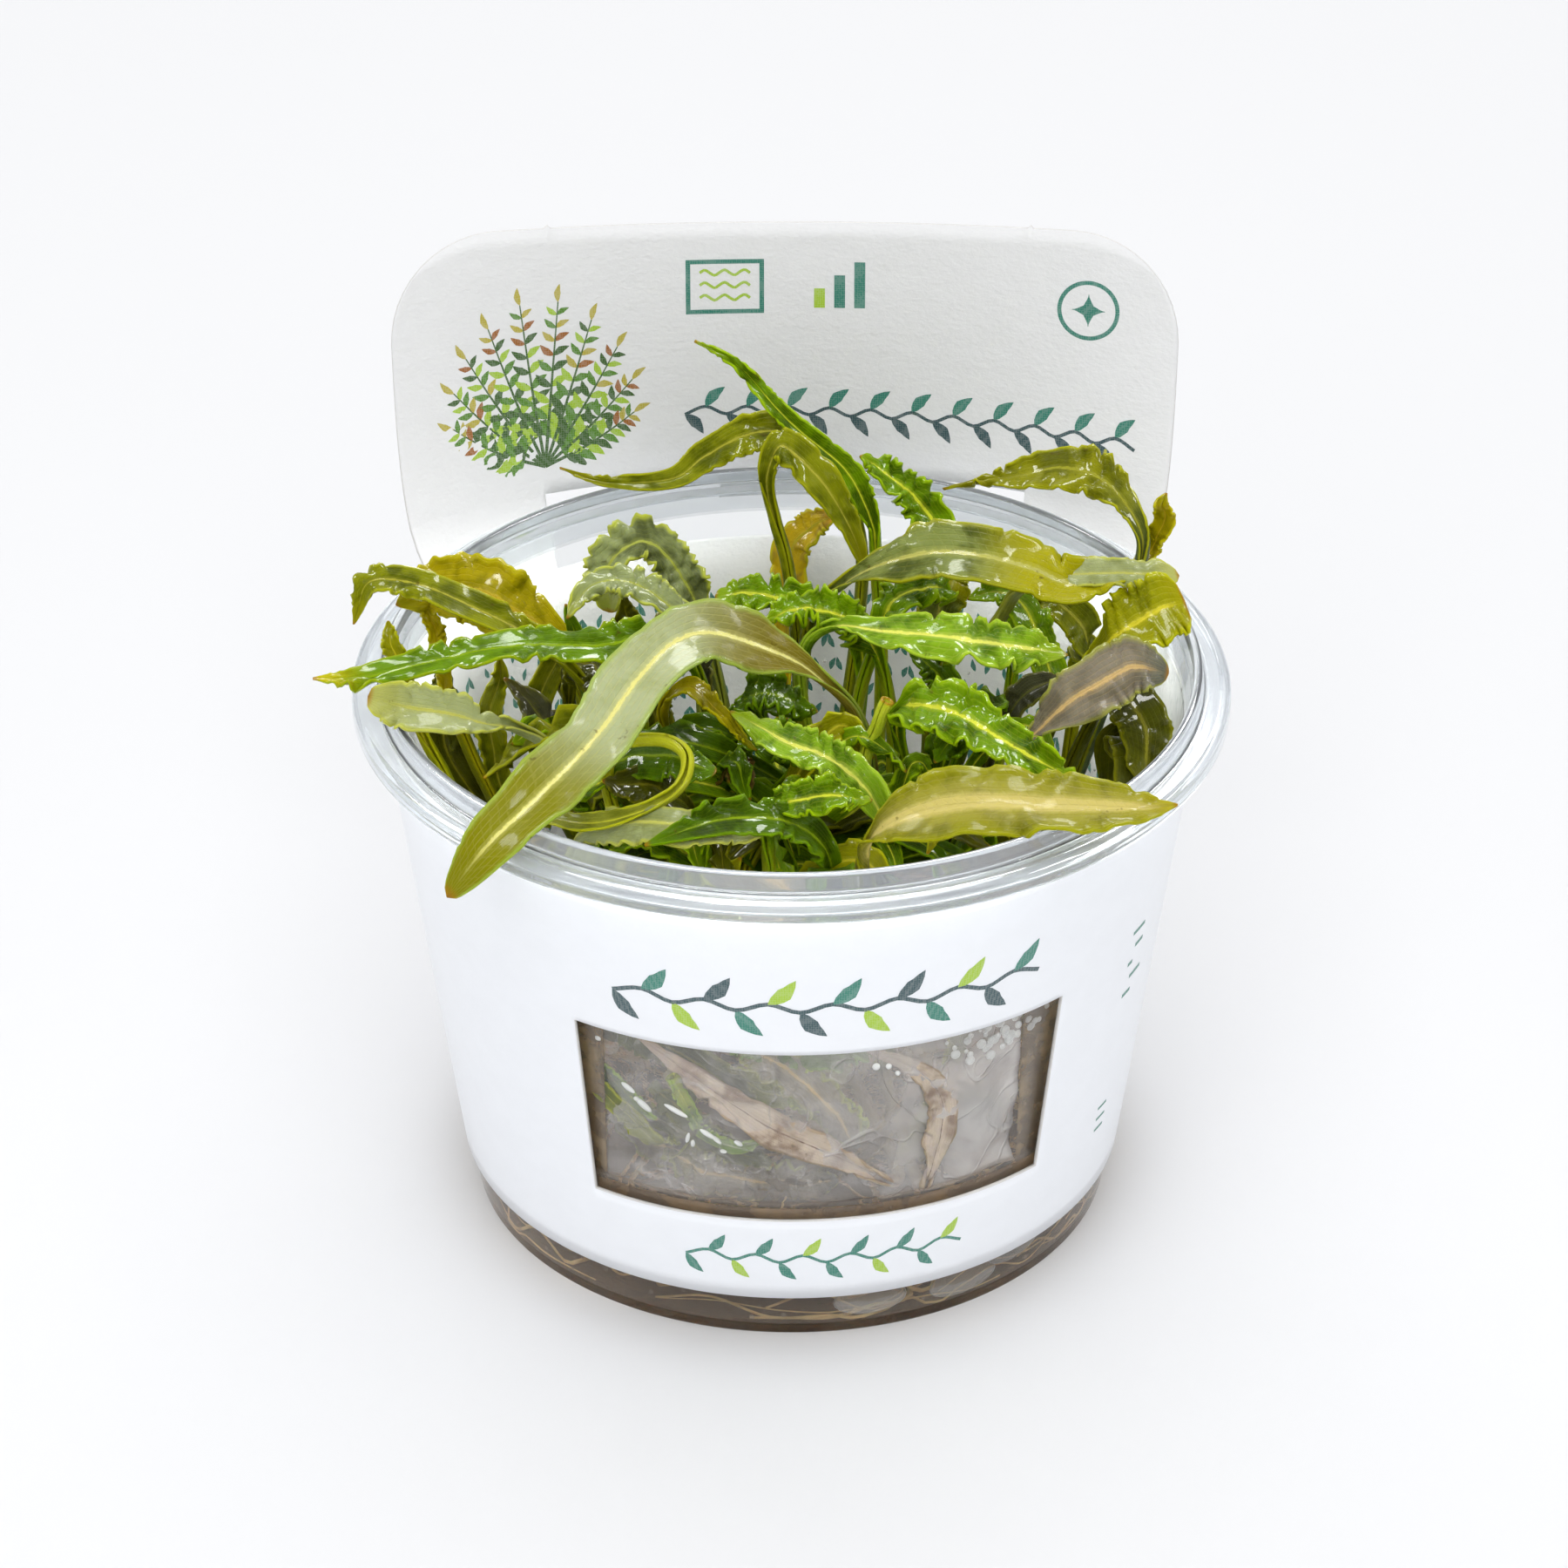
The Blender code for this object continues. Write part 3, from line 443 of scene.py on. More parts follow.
# Smaller leaves and stalks between them, seen at the cup's mouth
SMALL_LEAVES = {
    "glossy_knot": Strap("deep_green", 5.0, (
        (-4, 6, 40), (-6, 3, 55), (-5, -1, 63), (-1, -3, 64), (3, -1, 61)), wave=1.5, waves=9),
    "orange_point": Strap("yellow_olive", 2.6, (
        (-14, 4, 44), (-15, 0, 60), (-12, -4, 66), (-8, -8, 65), (-4, -11, 62)), tip=0.6, waves=9),
    "middle_crinkle": Strap("bright_green", 4.8, (
        (12, 12, 42), (11, 10, 60), (7, 9, 67), (2, 9, 69), (-3, 8, 68)), wave=1.4, waves=9),
    "middle_clump": Strap("bright_green", 4.4, (
        (6, 12, 44), (9, 12, 60), (12, 12, 68), (16, 14, 69), (19, 17, 66)), wave=1.3, waves=8),
    "pale_stalk": Strap("pale_stalk", 2.0, (
        (7, -9, 40), (8, -9, 52), (8, -9, 58), (9, -9, 62), (11, -9, 67)), stalk=2.0, waves=6),
    "right_wall_blade": Strap("dark_olive", 6.2, (
        (30, 2, 44), (34, 1, 58), (37, -2, 64), (40, -7, 63), (40, -12, 58)),
        tip=0.25, point=0.6, wave=0.3, waves=6),
    "front_olive_blade": Strap("grey_fold", 4.8, (
        (-10, -20, 44), (-23, -26, 58), (-18, -29, 63), (-10, -31, 64), (-2, -29, 63)),
        wave=0.5, waves=8),
    "dark_round": Strap("deep_green", 5.4, (
        (-12, -8, 46), (-20, -13, 60), (-15, -16, 64), (-8, -18, 63)), point=0.6, wave=0.4, waves=6),
    "pale_back": Strap("grey_to_yellow", 5.0, (
        (16, 15, 44), (17, 17, 58), (18, 19, 66), (21, 21, 69)), waves=7),
    "upright_green": Strap("bright_green", 3.0, (
        (24, 14, 44), (26, 16, 58), (27, 18, 66), (26, 19, 70)), wave=0.8, waves=9),
    "arch_tail": Strap("grey_fold", 3.9, (
        (22, 12, 62), (26, 9, 71), (31, 8, 73.6), (38, 9, 73.6), (44.6, 11, 72)),
        tip=0.14, point=0.5, wave=0.4, waves=6),
    "yellow_left": Strap("yellow_green", 2.4, (
        (-36, -6, 46), (-42, -3, 60), (-45, 0, 67), (-46, 4, 70)), wave=0.5, waves=6),
    "yellow_left_inner": Strap("yellow_olive", 2.0, (
        (-34, 2, 46), (-39, 4, 60), (-41, 6, 67), (-42, 8, 71)), wave=0.5, waves=6),
    "yellow_back_right": Strap("yellow_olive", 2.6, (
        (34, 18, 50), (40, 21, 66), (43, 21, 73), (43.4, 20, 78)), wave=0.5, waves=6),
    "crossing_green": Strap("bright_green", 4.2, (
        (-2, -18, 42), (-3, -22, 56), (-1, -25, 63), (4, -26, 65), (9, -24, 63)), wave=0.8, waves=11),
    "front_wall_tan": Strap("grey_brown", 5.4, (
        (6, -26, 38), (2, -33, 50), (-3, -37, 58), (-11, -38, 61)), wave=0.6, waves=8),
    "front_wall_brown": Strap("brown", 4.6, (
        (12, -24, 38), (18, -31, 50), (22, -35, 58), (29, -33, 61)), wave=0.7, waves=8),
    "front_wall_olive": Strap("olive", 5.2, (
        (-14, -20, 38), (-18, -28, 50), (-21, -32, 58), (-27, -28, 60)), wave=0.6, waves=8),
    "broad_dark": Strap("dark_olive", 5.6, (
        (-8, -8, 42), (-11, -14, 55), (-15, -18, 61), (-21, -18, 62)), wave=0.5, waves=7),
    "left_green_stalk": Strap("deep_green", 2.6, (
        (-15, 4, 24), (-20, 8, 44), (-24, 12, 58), (-26, 15, 66)), stalk=0.7, waves=8),
    "left_second_stalk": Strap("olive", 2.4, (
        (-14, 8, 24), (-21, 12, 44), (-26, 16, 56), (-29, 20, 62)), stalk=0.7, waves=8),
    "dark_back_knot": Strap("dark_grey", 4.6, (
        (-8, 12, 44), (-10, 12, 58), (-13, 10, 65), (-16, 7, 66)), wave=1.3, waves=9),
    "left_crinkle": Strap("bright_green", 4.6, (
        (-16, 8, 44), (-18, 6, 60), (-17, 2, 67), (-13, 0, 69), (-9, 0, 68)), wave=1.3, waves=8),
    "left_hanging": Strap("dark_olive", 4.2, (
        (-24, 4, 44), (-26, 6, 60), (-23, 3, 65), (-22, -2, 63)), wave=0.7, waves=8),
    "middle_dark": Strap("deep_green", 5.0, (
        (8, -2, 42), (7, -5, 54), (3, -8, 60), (-2, -8, 61), (-6, -4, 59)), wave=1.2, waves=11),
    "right_dark": Strap("deep_green", 4.8, (
        (16, 2, 42), (20, 0, 56), (22, -4, 63), (20, -9, 64), (16, -12, 61)), wave=1.1, waves=11),
    "right_low_green": Strap("bright_green", 4.4, (
        (24, -2, 42), (27, -6, 54), (29, -14, 60), (27, -20, 61)), wave=1.0, waves=10),
    "right_grey_stalk": Strap("dark_grey", 3.6, (
        (20, 4, 42), (24, 2, 56), (27, 0, 63), (31, 0, 65)), waves=8),
}

# Leaves that lie on the wall behind the window, through places of (turn from the front, height)
WINDOW_LEAVES = {
    "window_stem": Strap("bright_green", 1.7, (
        (-37, 35.5), (-32, 33.5), (-28, 31.0), (-23, 28.4)), stalk=0.1, wave=0.3, waves=9),
    "window_stem_low": Strap("dark_olive", 2.6, (
        (-37, 33.5), (-31, 31.5), (-25, 28.4), (-17, 27)), stalk=0.1, waves=9),
    "window_hanging": Strap("bright_green", 1.7, (
        (-20, 35), (-17.5, 31), (-15.5, 28), (-10, 26), (-5, 27)), stalk=0.1, wave=0.4, waves=9),
    "window_shadow_stem": Strap("dark_olive", 3.4, (
        (-24, 33), (-18, 29.5), (-12, 26), (-3, 23.5)), stalk=0.1, waves=9),
    "window_dark_top": Strap("dark_olive", 4.6, (
        (-33, 41), (-26, 40), (-19, 38.5), (-12, 35), (-5, 31)), stalk=0.1, waves=10),
    "window_middle": Strap("grey_brown", 4.6, (
        (-11, 42), (-2, 38), (6, 32), (12, 25)), stalk=0.1, wave=1.0, waves=8),
    "window_deep": Strap("deep_green", 5.0, (
        (-14, 44), (-4, 41), (6, 40), (14, 43)), stalk=0.1, wave=1.2, waves=8),
    "window_tip": Strap("orange", 4.0, (
        (-8, 47), (-4, 44), (-1, 41), (1, 38.6)), stalk=0.1, waves=5),
    "window_loop": Strap("pale_stalk", 2.0, (
        (1, 44), (4, 40.5), (3.5, 38), (-1, 37.8), (-3, 40)), stalk=0.1, wave=0.3, waves=5),
    "window_curl": Strap("silver_green", 3.0, (
        (-1, 34), (4, 32.5), (9, 30.5), (13, 26)), stalk=0.1, wave=0.8, waves=8),
    "window_low": Strap("grey_brown", 5.4, (
        (-24, 22), (-15, 20.5), (-4, 19.8), (9, 20)), stalk=0.1, wave=0.9, waves=9),
    "window_brown": Strap("brown", 3.6, (
        (-20, 19), (-8, 20), (4, 21.5), (13, 24), (19, 30)), stalk=0.1, wave=0.9, waves=9),
    "window_pale_right": Strap("wet_tan", 3.4, (
        (19, 38), (26, 33), (34, 32), (42, 34)), stalk=0.1, wave=0.8, waves=8),
    "window_dark_right": Strap("dark_grey", 4.4, (
        (24, 21), (30, 25), (36, 25.5), (43, 21)), stalk=0.1, wave=0.8, waves=8),
    "window_right_stem": Strap("olive", 2.4, (
        (29, 43), (30, 36), (27, 29), (20, 22)), stalk=0.1, wave=0.6, waves=9),
    "window_left_low": Strap("grey_brown", 5.6, (
        (-35, 27), (-29, 23.5), (-21, 22), (-12, 24)), stalk=0.1, waves=6),
    "window_olive": Strap("olive", 3.4, (
        (14, 22), (10, 27), (3, 31), (-6, 33), (-13, 36)), stalk=0.1, waves=9),
}


def smooth_step(value):
    """Ease from 0 to 1."""
    t = min(max(value, 0.0), 1.0)
    return t * t * (3.0 - 2.0 * t)


def mixed(a, b, share):
    """Number part way from a to b."""
    return a + (b - a) * share


# Shader helpers

def start_group(name, inputs, outputs):
    """Make an empty shader group with its sockets and return its tree and end nodes."""
    tree = bpy.data.node_groups.new(name, "ShaderNodeTree")
    for label, kind, default in inputs:
        socket = tree.interface.new_socket(label, in_out="INPUT", socket_type=kind)
        socket.default_value = default
    for label, kind in outputs:
        tree.interface.new_socket(label, in_out="OUTPUT", socket_type=kind)
    return tree, tree.nodes.new("NodeGroupInput"), tree.nodes.new("NodeGroupOutput")


def plug(tree, socket, value):
    """Link a socket to a value's socket, or set it to a plain value."""
    if isinstance(value, bpy.types.NodeSocket):
        tree.links.new(value, socket)
    else:
        socket.default_value = value


def math_node(tree, operation, first, second=0.0, third=0.0, clamp=False):
    """Math node fed with up to three values; returns its result."""
    node = tree.nodes.new("ShaderNodeMath")
    node.operation = operation
    node.use_clamp = clamp
    for socket, value in zip(node.inputs, (first, second, third)):
        plug(tree, socket, value)
    return node.outputs[0]


def ramp(tree, value, low, high):
    """Map low..high of a value to 0..1, eased."""
    node = tree.nodes.new("ShaderNodeMapRange")
    node.interpolation_type = "SMOOTHSTEP"
    plug(tree, node.inputs["Value"], value)
    plug(tree, node.inputs["From Min"], low)
    plug(tree, node.inputs["From Max"], high)
    return node.outputs["Result"]


def blend_color(tree, share, first, second):
    """Mix two colours by a share."""
    node = tree.nodes.new("ShaderNodeMix")
    node.data_type = "RGBA"
    plug(tree, node.inputs["Factor"], share)
    plug(tree, node.inputs["A"], first)
    plug(tree, node.inputs["B"], second)
    return node.outputs["Result"]


def noise_node(tree, vector, scale, detail=2.0, roughness=0.5, distortion=0.0):
    """Noise texture read at a vector; returns its value."""
    node = tree.nodes.new("ShaderNodeTexNoise")
    plug(tree, node.inputs["Vector"], vector)
    plug(tree, node.inputs["Scale"], scale)
    node.inputs["Detail"].default_value = detail
    node.inputs["Roughness"].default_value = roughness
    node.inputs["Distortion"].default_value = distortion
    return node.outputs["Fac"]


def object_coordinates(tree):
    """Position on the piece, in metres."""
    return tree.nodes.new("ShaderNodeTexCoord").outputs["Object"]


def opaque(color):
    """A colour with full alpha."""
    return (*color, 1.0)


def tissue_group():
    """Leaf tissue: midrib, long veins, cross veins, mottling and the change along the blade."""
    known = bpy.data.node_groups.get("leaf_tissue")
    if known:
        return known
    color, value = "NodeSocketColor", "NodeSocketFloat"
    tree, given, result = start_group("leaf_tissue", [
        ("Near", color, opaque((0.1, 0.1, 0.01))), ("Blade", color, opaque((0.1, 0.2, 0.01))),
        ("Shade", color, opaque((0.05, 0.1, 0.01))), ("Edge", color, opaque((0.2, 0.3, 0.01))),
        ("Midrib", color, opaque((0.4, 0.4, 0.1))), ("Far", color, opaque((0.2, 0.2, 0.01))),
        ("Rib Width", value, 0.15), ("Mottle", value, 0.5), ("Near End", value, 0.3),
        ("Far Start", value, 0.85), ("Wet", value, 0.5),
    ], [("Color", color), ("Roughness", value), ("Height", value), ("Wetness", value)])
    where = object_coordinates(tree)
    uv = tree.nodes.new("ShaderNodeUVMap")
    uv.uv_map = "UVMap"
    split = tree.nodes.new("ShaderNodeSeparateXYZ")
    tree.links.new(uv.outputs["UV"], split.inputs[0])
    along = split.outputs["Y"]
    across = math_node(tree, "ABSOLUTE", math_node(tree, "MULTIPLY_ADD", split.outputs["X"], 2.0, -1.0))
    coarse = noise_node(tree, where, 210.0, 3.0, 0.6, 0.4)
    fine = noise_node(tree, where, 1500.0, 2.0, 0.6)
    wander = math_node(tree, "MULTIPLY_ADD", coarse, 0.25, math_node(tree, "MULTIPLY", fine, 0.1))

    rib_width = given.outputs["Rib Width"]
    ragged = math_node(tree, "ADD", across, math_node(tree, "MULTIPLY_ADD", fine, 0.12, -0.06))
    core = ramp(tree, ragged, rib_width, math_node(tree, "MULTIPLY", rib_width, 0.35))
    halo = ramp(tree, ragged, math_node(tree, "MULTIPLY", rib_width, 2.2), rib_width)
    rib_fade = ramp(tree, along, 0.985, 0.87)
    rib = math_node(tree, "MULTIPLY", rib_fade, math_node(
        tree, "MULTIPLY_ADD", core, 0.8, math_node(tree, "MULTIPLY", halo, 0.2)))

    long_phase = math_node(tree, "MULTIPLY_ADD", across, 34.0, math_node(tree, "MULTIPLY", wander, 8.0))
    long_veins = ramp(tree, math_node(tree, "SINE", long_phase), 0.55, 1.0)
    cross_phase = math_node(tree, "MULTIPLY_ADD", along, 330.0, math_node(
        tree, "MULTIPLY_ADD", across, 14.0, math_node(tree, "MULTIPLY", wander, 40.0)))
    cross_veins = ramp(tree, math_node(tree, "SINE", cross_phase), 0.7, 1.0)
    veins = math_node(tree, "MAXIMUM", long_veins, math_node(tree, "MULTIPLY", cross_veins, 0.5))

    mottle = math_node(tree, "MULTIPLY", ramp(tree, coarse, 0.42, 0.66), given.outputs["Mottle"])
    near = ramp(tree, along, given.outputs["Near End"], math_node(
        tree, "MULTIPLY", given.outputs["Near End"], 0.6))
    far = ramp(tree, along, given.outputs["Far Start"], math_node(
        tree, "ADD", given.outputs["Far Start"], 0.15))
    tissue = blend_color(tree, mottle, given.outputs["Blade"], given.outputs["Shade"])
    tissue = blend_color(tree, near, tissue, given.outputs["Near"])
    tissue = blend_color(tree, far, tissue, given.outputs["Far"])
    edge = math_node(tree, "MULTIPLY", ramp(tree, ragged, 0.78, 1.0), 0.8)
    tissue = blend_color(tree, edge, tissue, given.outputs["Edge"])
    vein_tone = blend_color(tree, 0.35, tissue, given.outputs["Midrib"])
    tissue = blend_color(tree, math_node(tree, "MULTIPLY", veins, 0.3), tissue, vein_tone)
    tissue = blend_color(tree, rib, tissue, given.outputs["Midrib"])
    last = math_node(tree, "MULTIPLY", ramp(tree, along, 0.98, 1.0), 0.85)
    tissue = blend_color(tree, last, tissue, opaque((0.36, 0.15, 0.01)))
    spots = noise_node(tree, where, 420.0, 3.0, 0.7)
    stain = math_node(tree, "MULTIPLY", ramp(tree, spots, 0.66, 0.74), 0.6)
    tissue = blend_color(tree, stain, tissue, opaque((0.09, 0.06, 0.008)))
    tree.links.new(tissue, result.inputs["Color"])

    height = math_node(tree, "MULTIPLY_ADD", veins, -0.25, math_node(
        tree, "MULTIPLY_ADD", rib, 0.5, math_node(tree, "MULTIPLY", coarse, 1.6)))
    tree.links.new(math_node(tree, "MULTIPLY_ADD", fine, 0.12, height), result.inputs["Height"])
    tree.links.new(math_node(tree, "MULTIPLY_ADD", fine, 0.25, 0.22), result.inputs["Roughness"])
    wet = math_node(tree, "MULTIPLY", ramp(tree, coarse, 0.60, 0.42), given.outputs["Wet"])
    tree.links.new(wet, result.inputs["Wetness"])
    return tree


def grain_group():
    """Fine fibre grain and a slow unevenness, for card and moulded plastic."""
    known = bpy.data.node_groups.get("surface_grain")
    if known:
        return known
    value = "NodeSocketFloat"
    tree, given, result = start_group("surface_grain", [
        ("Fine Scale", value, 1400.0), ("Slow Scale", value, 60.0), ("Slow Share", value, 0.3),
        ("Flatness", value, 1.0),
    ], [("Height", value), ("Tone", value)])
    split = tree.nodes.new("ShaderNodeSeparateXYZ")
    tree.links.new(object_coordinates(tree), split.inputs[0])
    join = tree.nodes.new("ShaderNodeCombineXYZ")
    tree.links.new(split.outputs["X"], join.inputs["X"])
    tree.links.new(split.outputs["Y"], join.inputs["Y"])
    rise = math_node(tree, "MULTIPLY", split.outputs["Z"], given.outputs["Flatness"])
    tree.links.new(rise, join.inputs["Z"])
    where = join.outputs["Vector"]
    fine = noise_node(tree, where, given.outputs["Fine Scale"], 3.0, 0.6)
    slow = noise_node(tree, where, given.outputs["Slow Scale"], 2.0, 0.5)
    height = math_node(tree, "MULTIPLY_ADD", slow, given.outputs["Slow Share"], fine)
    tree.links.new(height, result.inputs["Height"])
    tree.links.new(slow, result.inputs["Tone"])
    return tree


def new_material(name):
    """Make a node material and return it with its tree and Principled shader."""
    material = bpy.data.materials.new(name)
    material.use_nodes = True
    return material, material.node_tree, material.node_tree.nodes["Principled BSDF"]


def use_group(tree, group, **values):
    """Place a shader group and set or link its inputs."""
    node = tree.nodes.new("ShaderNodeGroup")
    node.node_tree = group
    for label, value in values.items():
        plug(tree, node.inputs[label.replace("_", " ")], value)
    return node


def bump(tree, shader, height, strength, distance):
    """Feed a height to a shader's normal."""
    node = tree.nodes.new("ShaderNodeBump")
    node.inputs["Strength"].default_value = strength
    node.inputs["Distance"].default_value = distance
    plug(tree, node.inputs["Height"], height)
    tree.links.new(node.outputs["Normal"], shader.inputs["Normal"])


def leaf_material(name):
    """Leaf finish of the given name, built once."""
    label = "tissue_" + name
    if label in bpy.data.materials:
        return bpy.data.materials[label]
    tones = FINISHES[name]
    material, tree, shader = new_material(label)
    group = use_group(
        tree, tissue_group(), Near=opaque(tones.near), Blade=opaque(tones.blade),
        Shade=opaque(tones.shade), Edge=opaque(tones.edge), Midrib=opaque(tones.midrib),
        Far=opaque(tones.far), Rib_Width=tones.rib, Mottle=tones.mottle,
        Near_End=tones.near_end, Far_Start=tones.far_start, Wet=tones.wet)
    tree.links.new(group.outputs["Color"], shader.inputs["Base Color"])
    tree.links.new(group.outputs["Roughness"], shader.inputs["Roughness"])
    tree.links.new(group.outputs["Wetness"], shader.inputs["Coat Weight"])
    shader.inputs["Coat Roughness"].default_value = 0.08
    shader.inputs["Specular IOR Level"].default_value = 0.04
    shader.inputs["Subsurface Weight"].default_value = 0.4
    shader.inputs["Subsurface Radius"].default_value = (1.0, 1.0, 0.25)
    shader.inputs["Subsurface Scale"].default_value = 0.0012
    bump(tree, shader, group.outputs["Height"], 0.6, 0.0004)
    return material


def see_through(tree, shader, tint):
    """Let shadow rays pass a clear material, so that what is behind it stays lit."""
    path = tree.nodes.new("ShaderNodeLightPath")
    clear = tree.nodes.new("ShaderNodeBsdfTransparent")
    clear.inputs["Color"].default_value = opaque(tint)
    mix = tree.nodes.new("ShaderNodeMixShader")
    tree.links.new(path.outputs["Is Shadow Ray"], mix.inputs["Fac"])
    tree.links.new(shader.outputs["BSDF"], mix.inputs[1])
    tree.links.new(clear.outputs["BSDF"], mix.inputs[2])
    output = tree.nodes["Material Output"]
    tree.links.new(mix.outputs["Shader"], output.inputs["Surface"])
    return output


def plastic_material(name, tint, roughness, clearness, ior, ripple=0.15):
    """Moulded plastic with faint flow unevenness; less clear where it is thick."""
    material, tree, shader = new_material(name)
    grain = use_group(tree, grain_group(), Fine_Scale=500.0, Slow_Scale=90.0, Slow_Share=3.0)
    shader.inputs["Base Color"].default_value = opaque(tint)
    shader.inputs["Transmission Weight"].default_value = clearness
    shader.inputs["IOR"].default_value = ior
    rough = math_node(tree, "MULTIPLY_ADD", grain.outputs["Tone"], 0.02, roughness)
    tree.links.new(rough, shader.inputs["Roughness"])
    bump(tree, shader, grain.outputs["Height"], ripple, 0.0002)
    see_through(tree, shader, (0.97, 0.98, 0.98))
    return material


def gel_material(tint, density):
    """Cloudy brown jelly; its bending of light is what is left beside the plastic's."""
    material, tree, shader = new_material("culture_gel")
    cloud = noise_node(tree, object_coordinates(tree), 120.0, 3.0)
    tone = blend_color(tree, cloud, opaque((0.83, 0.72, 0.62)), opaque((0.67, 0.56, 0.46)))
    tree.links.new(tone, shader.inputs["Base Color"])
    shader.inputs["Transmission Weight"].default_value = 0.86
    shader.inputs["IOR"].default_value = GEL_IOR
    tree.links.new(math_node(tree, "MULTIPLY", cloud, 0.12), shader.inputs["Roughness"])
    bump(tree, shader, cloud, 0.3, 0.0006)
    output = see_through(tree, shader, (0.9, 0.86, 0.82))
    absorb = tree.nodes.new("ShaderNodeVolumeAbsorption")
    absorb.inputs["Color"].default_value = opaque(tint)
    absorb.inputs["Density"].default_value = density
    tree.links.new(absorb.outputs["Volume"], output.inputs["Volume"])
    return material


def bubble_painted_rim_material(name, body, rim):
    """Bubble or drop shown by a near-white body and a brighter rim, painted reflection and painted
    highlight: a body's and a rim's share of cover.
    """
    material, tree, shader = new_material(name)
    facing = tree.nodes.new("ShaderNodeLayerWeight")
    facing.inputs["Blend"].default_value = 0.35
    edge = ramp(tree, facing.outputs["Facing"], 0.25, 0.85)
    ripple = noise_node(tree, object_coordinates(tree), 300.0)
    # Near-white cover, strongest at the rim: painted reflection and painted highlight.
    shader.inputs["Base Color"].default_value = opaque((0.93, 0.92, 0.90))
    shader.inputs["IOR"].default_value = WATER_IOR
    tree.links.new(math_node(tree, "MULTIPLY", ripple, 0.08), shader.inputs["Roughness"])
    tree.links.new(math_node(tree, "MULTIPLY_ADD", edge, rim, body), shader.inputs["Alpha"])
    return material


def film_and_painted_reflection_material():
    """Thin wet film, folded and misted, clearer in patches; its pale veil is partly painted reflection
    of the floor in the wall.
    """
    material, tree, shader = new_material("wet_film_and_painted_reflection")
    where = object_coordinates(tree)
    cloud = noise_node(tree, where, 130.0, 4.0, 0.6, 0.6)
    shader.inputs["Base Color"].default_value = opaque((0.86, 0.80, 0.775))
    shader.inputs["Roughness"].default_value = 0.12
    split = tree.nodes.new("ShaderNodeSeparateXYZ")
    tree.links.new(where, split.inputs[0])
    rightward = math_node(tree, "MULTIPLY", ramp(tree, split.outputs["X"], -0.004, 0.024), 0.25)
    folds = noise_node(tree, where, 95.0, 1.5, 0.5, 1.6)
    away = math_node(tree, "ABSOLUTE", math_node(tree, "SUBTRACT", folds, 0.5))
    line = ramp(tree, away, 0.022, 0.0)
    # Cover of the film: mist, and painted reflection of the floor in the wall, with more of it to the
    # right.
    mist_and_painted_reflection = math_node(tree, "MULTIPLY_ADD", ramp(tree, cloud, 0.40, 0.62), 0.11, rightward)
    mist_and_painted_reflection = math_node(tree, "MULTIPLY_ADD", line, 0.12, mist_and_painted_reflection)
    tree.links.new(math_node(tree, "ADD", mist_and_painted_reflection, 0.09), shader.inputs["Alpha"])
    bump(tree, shader, math_node(tree, "MULTIPLY_ADD", line, 0.4, cloud), 0.7, 0.0006)
    return material


def smear_and_painted_shade_material():
    """Brown liquid gel between the leaves and the wall; along the window's cut edges it is partly gel
    colour and partly painted shade, where the sleeve's edges keep the floor's pale reflection off the
    wall.
    """
    material, tree, shader = new_material("gel_smear_and_painted_shade")
    streaks = noise_node(tree, object_coordinates(tree), 260.0, 4.0, 0.6)
    # Brown tones: gel colour, darkened as painted shade along the window's cut edges.
    tone = blend_color(
        tree, ramp(tree, streaks, 0.35, 0.7), opaque((0.13, 0.075, 0.03)), opaque((0.34, 0.23, 0.11)))
    tree.links.new(tone, shader.inputs["Base Color"])
    shader.inputs["Roughness"].default_value = 0.2
    tree.links.new(math_node(tree, "MULTIPLY_ADD", streaks, 0.3, 0.6), shader.inputs["Alpha"])
    bump(tree, shader, streaks, 0.3, 0.0003)
    return material


def card_material(name, low_tint, high_tint, grain_scale, depth, roughness, coat):
    """White board, its coated face or its bare one; a tint below the slot and one above it. On the bare
    face these are painted light and painted shade: lighter and warmer below the slot, for light glowing
    through the card, and greyer on the header.
    """
    material, tree, shader = new_material(name)
    grain = use_group(
        tree, grain_group(), Fine_Scale=grain_scale, Slow_Scale=260.0, Slow_Share=1.2, Flatness=1.5)
    split = tree.nodes.new("ShaderNodeSeparateXYZ")
    tree.links.new(object_coordinates(tree), split.inputs[0])
    # On the bare face this blend paints light and shade: lighter and warmer below the slot, greyer on
    # the header.
    rise = ramp(tree, split.outputs["Z"], (SLOT_LOW - 4.0) * MM, SLOT_HIGH * MM)
    paper_and_painted_light = blend_color(tree, rise, opaque(low_tint), opaque(high_tint))
    tone = math_node(tree, "MULTIPLY", ramp(tree, grain.outputs["Tone"], 0.3, 0.7), 0.03)
    tree.links.new(blend_color(tree, tone, paper_and_painted_light, opaque((0.5, 0.5, 0.5))), shader.inputs["Base Color"])
    shader.inputs["Roughness"].default_value = roughness
    shader.inputs["Coat Weight"].default_value = coat
    shader.inputs["Coat Roughness"].default_value = 0.2
    bump(tree, shader, grain.outputs["Height"], depth, 0.0003)
    return material


def cut_edge_material():
    """Bare fibres along the card's cut edges."""
    material, tree, shader = new_material("card_cut_edge")
    fibres = noise_node(tree, object_coordinates(tree), 2600.0, 3.0, 0.7)
    tone = blend_color(tree, fibres, opaque((0.80, 0.79, 0.77)), opaque((0.62, 0.60, 0.58)))
    tree.links.new(tone, shader.inputs["Base Color"])
    shader.inputs["Roughness"].default_value = 0.85
    bump(tree, shader, fibres, 0.6, 0.0001)
    return material


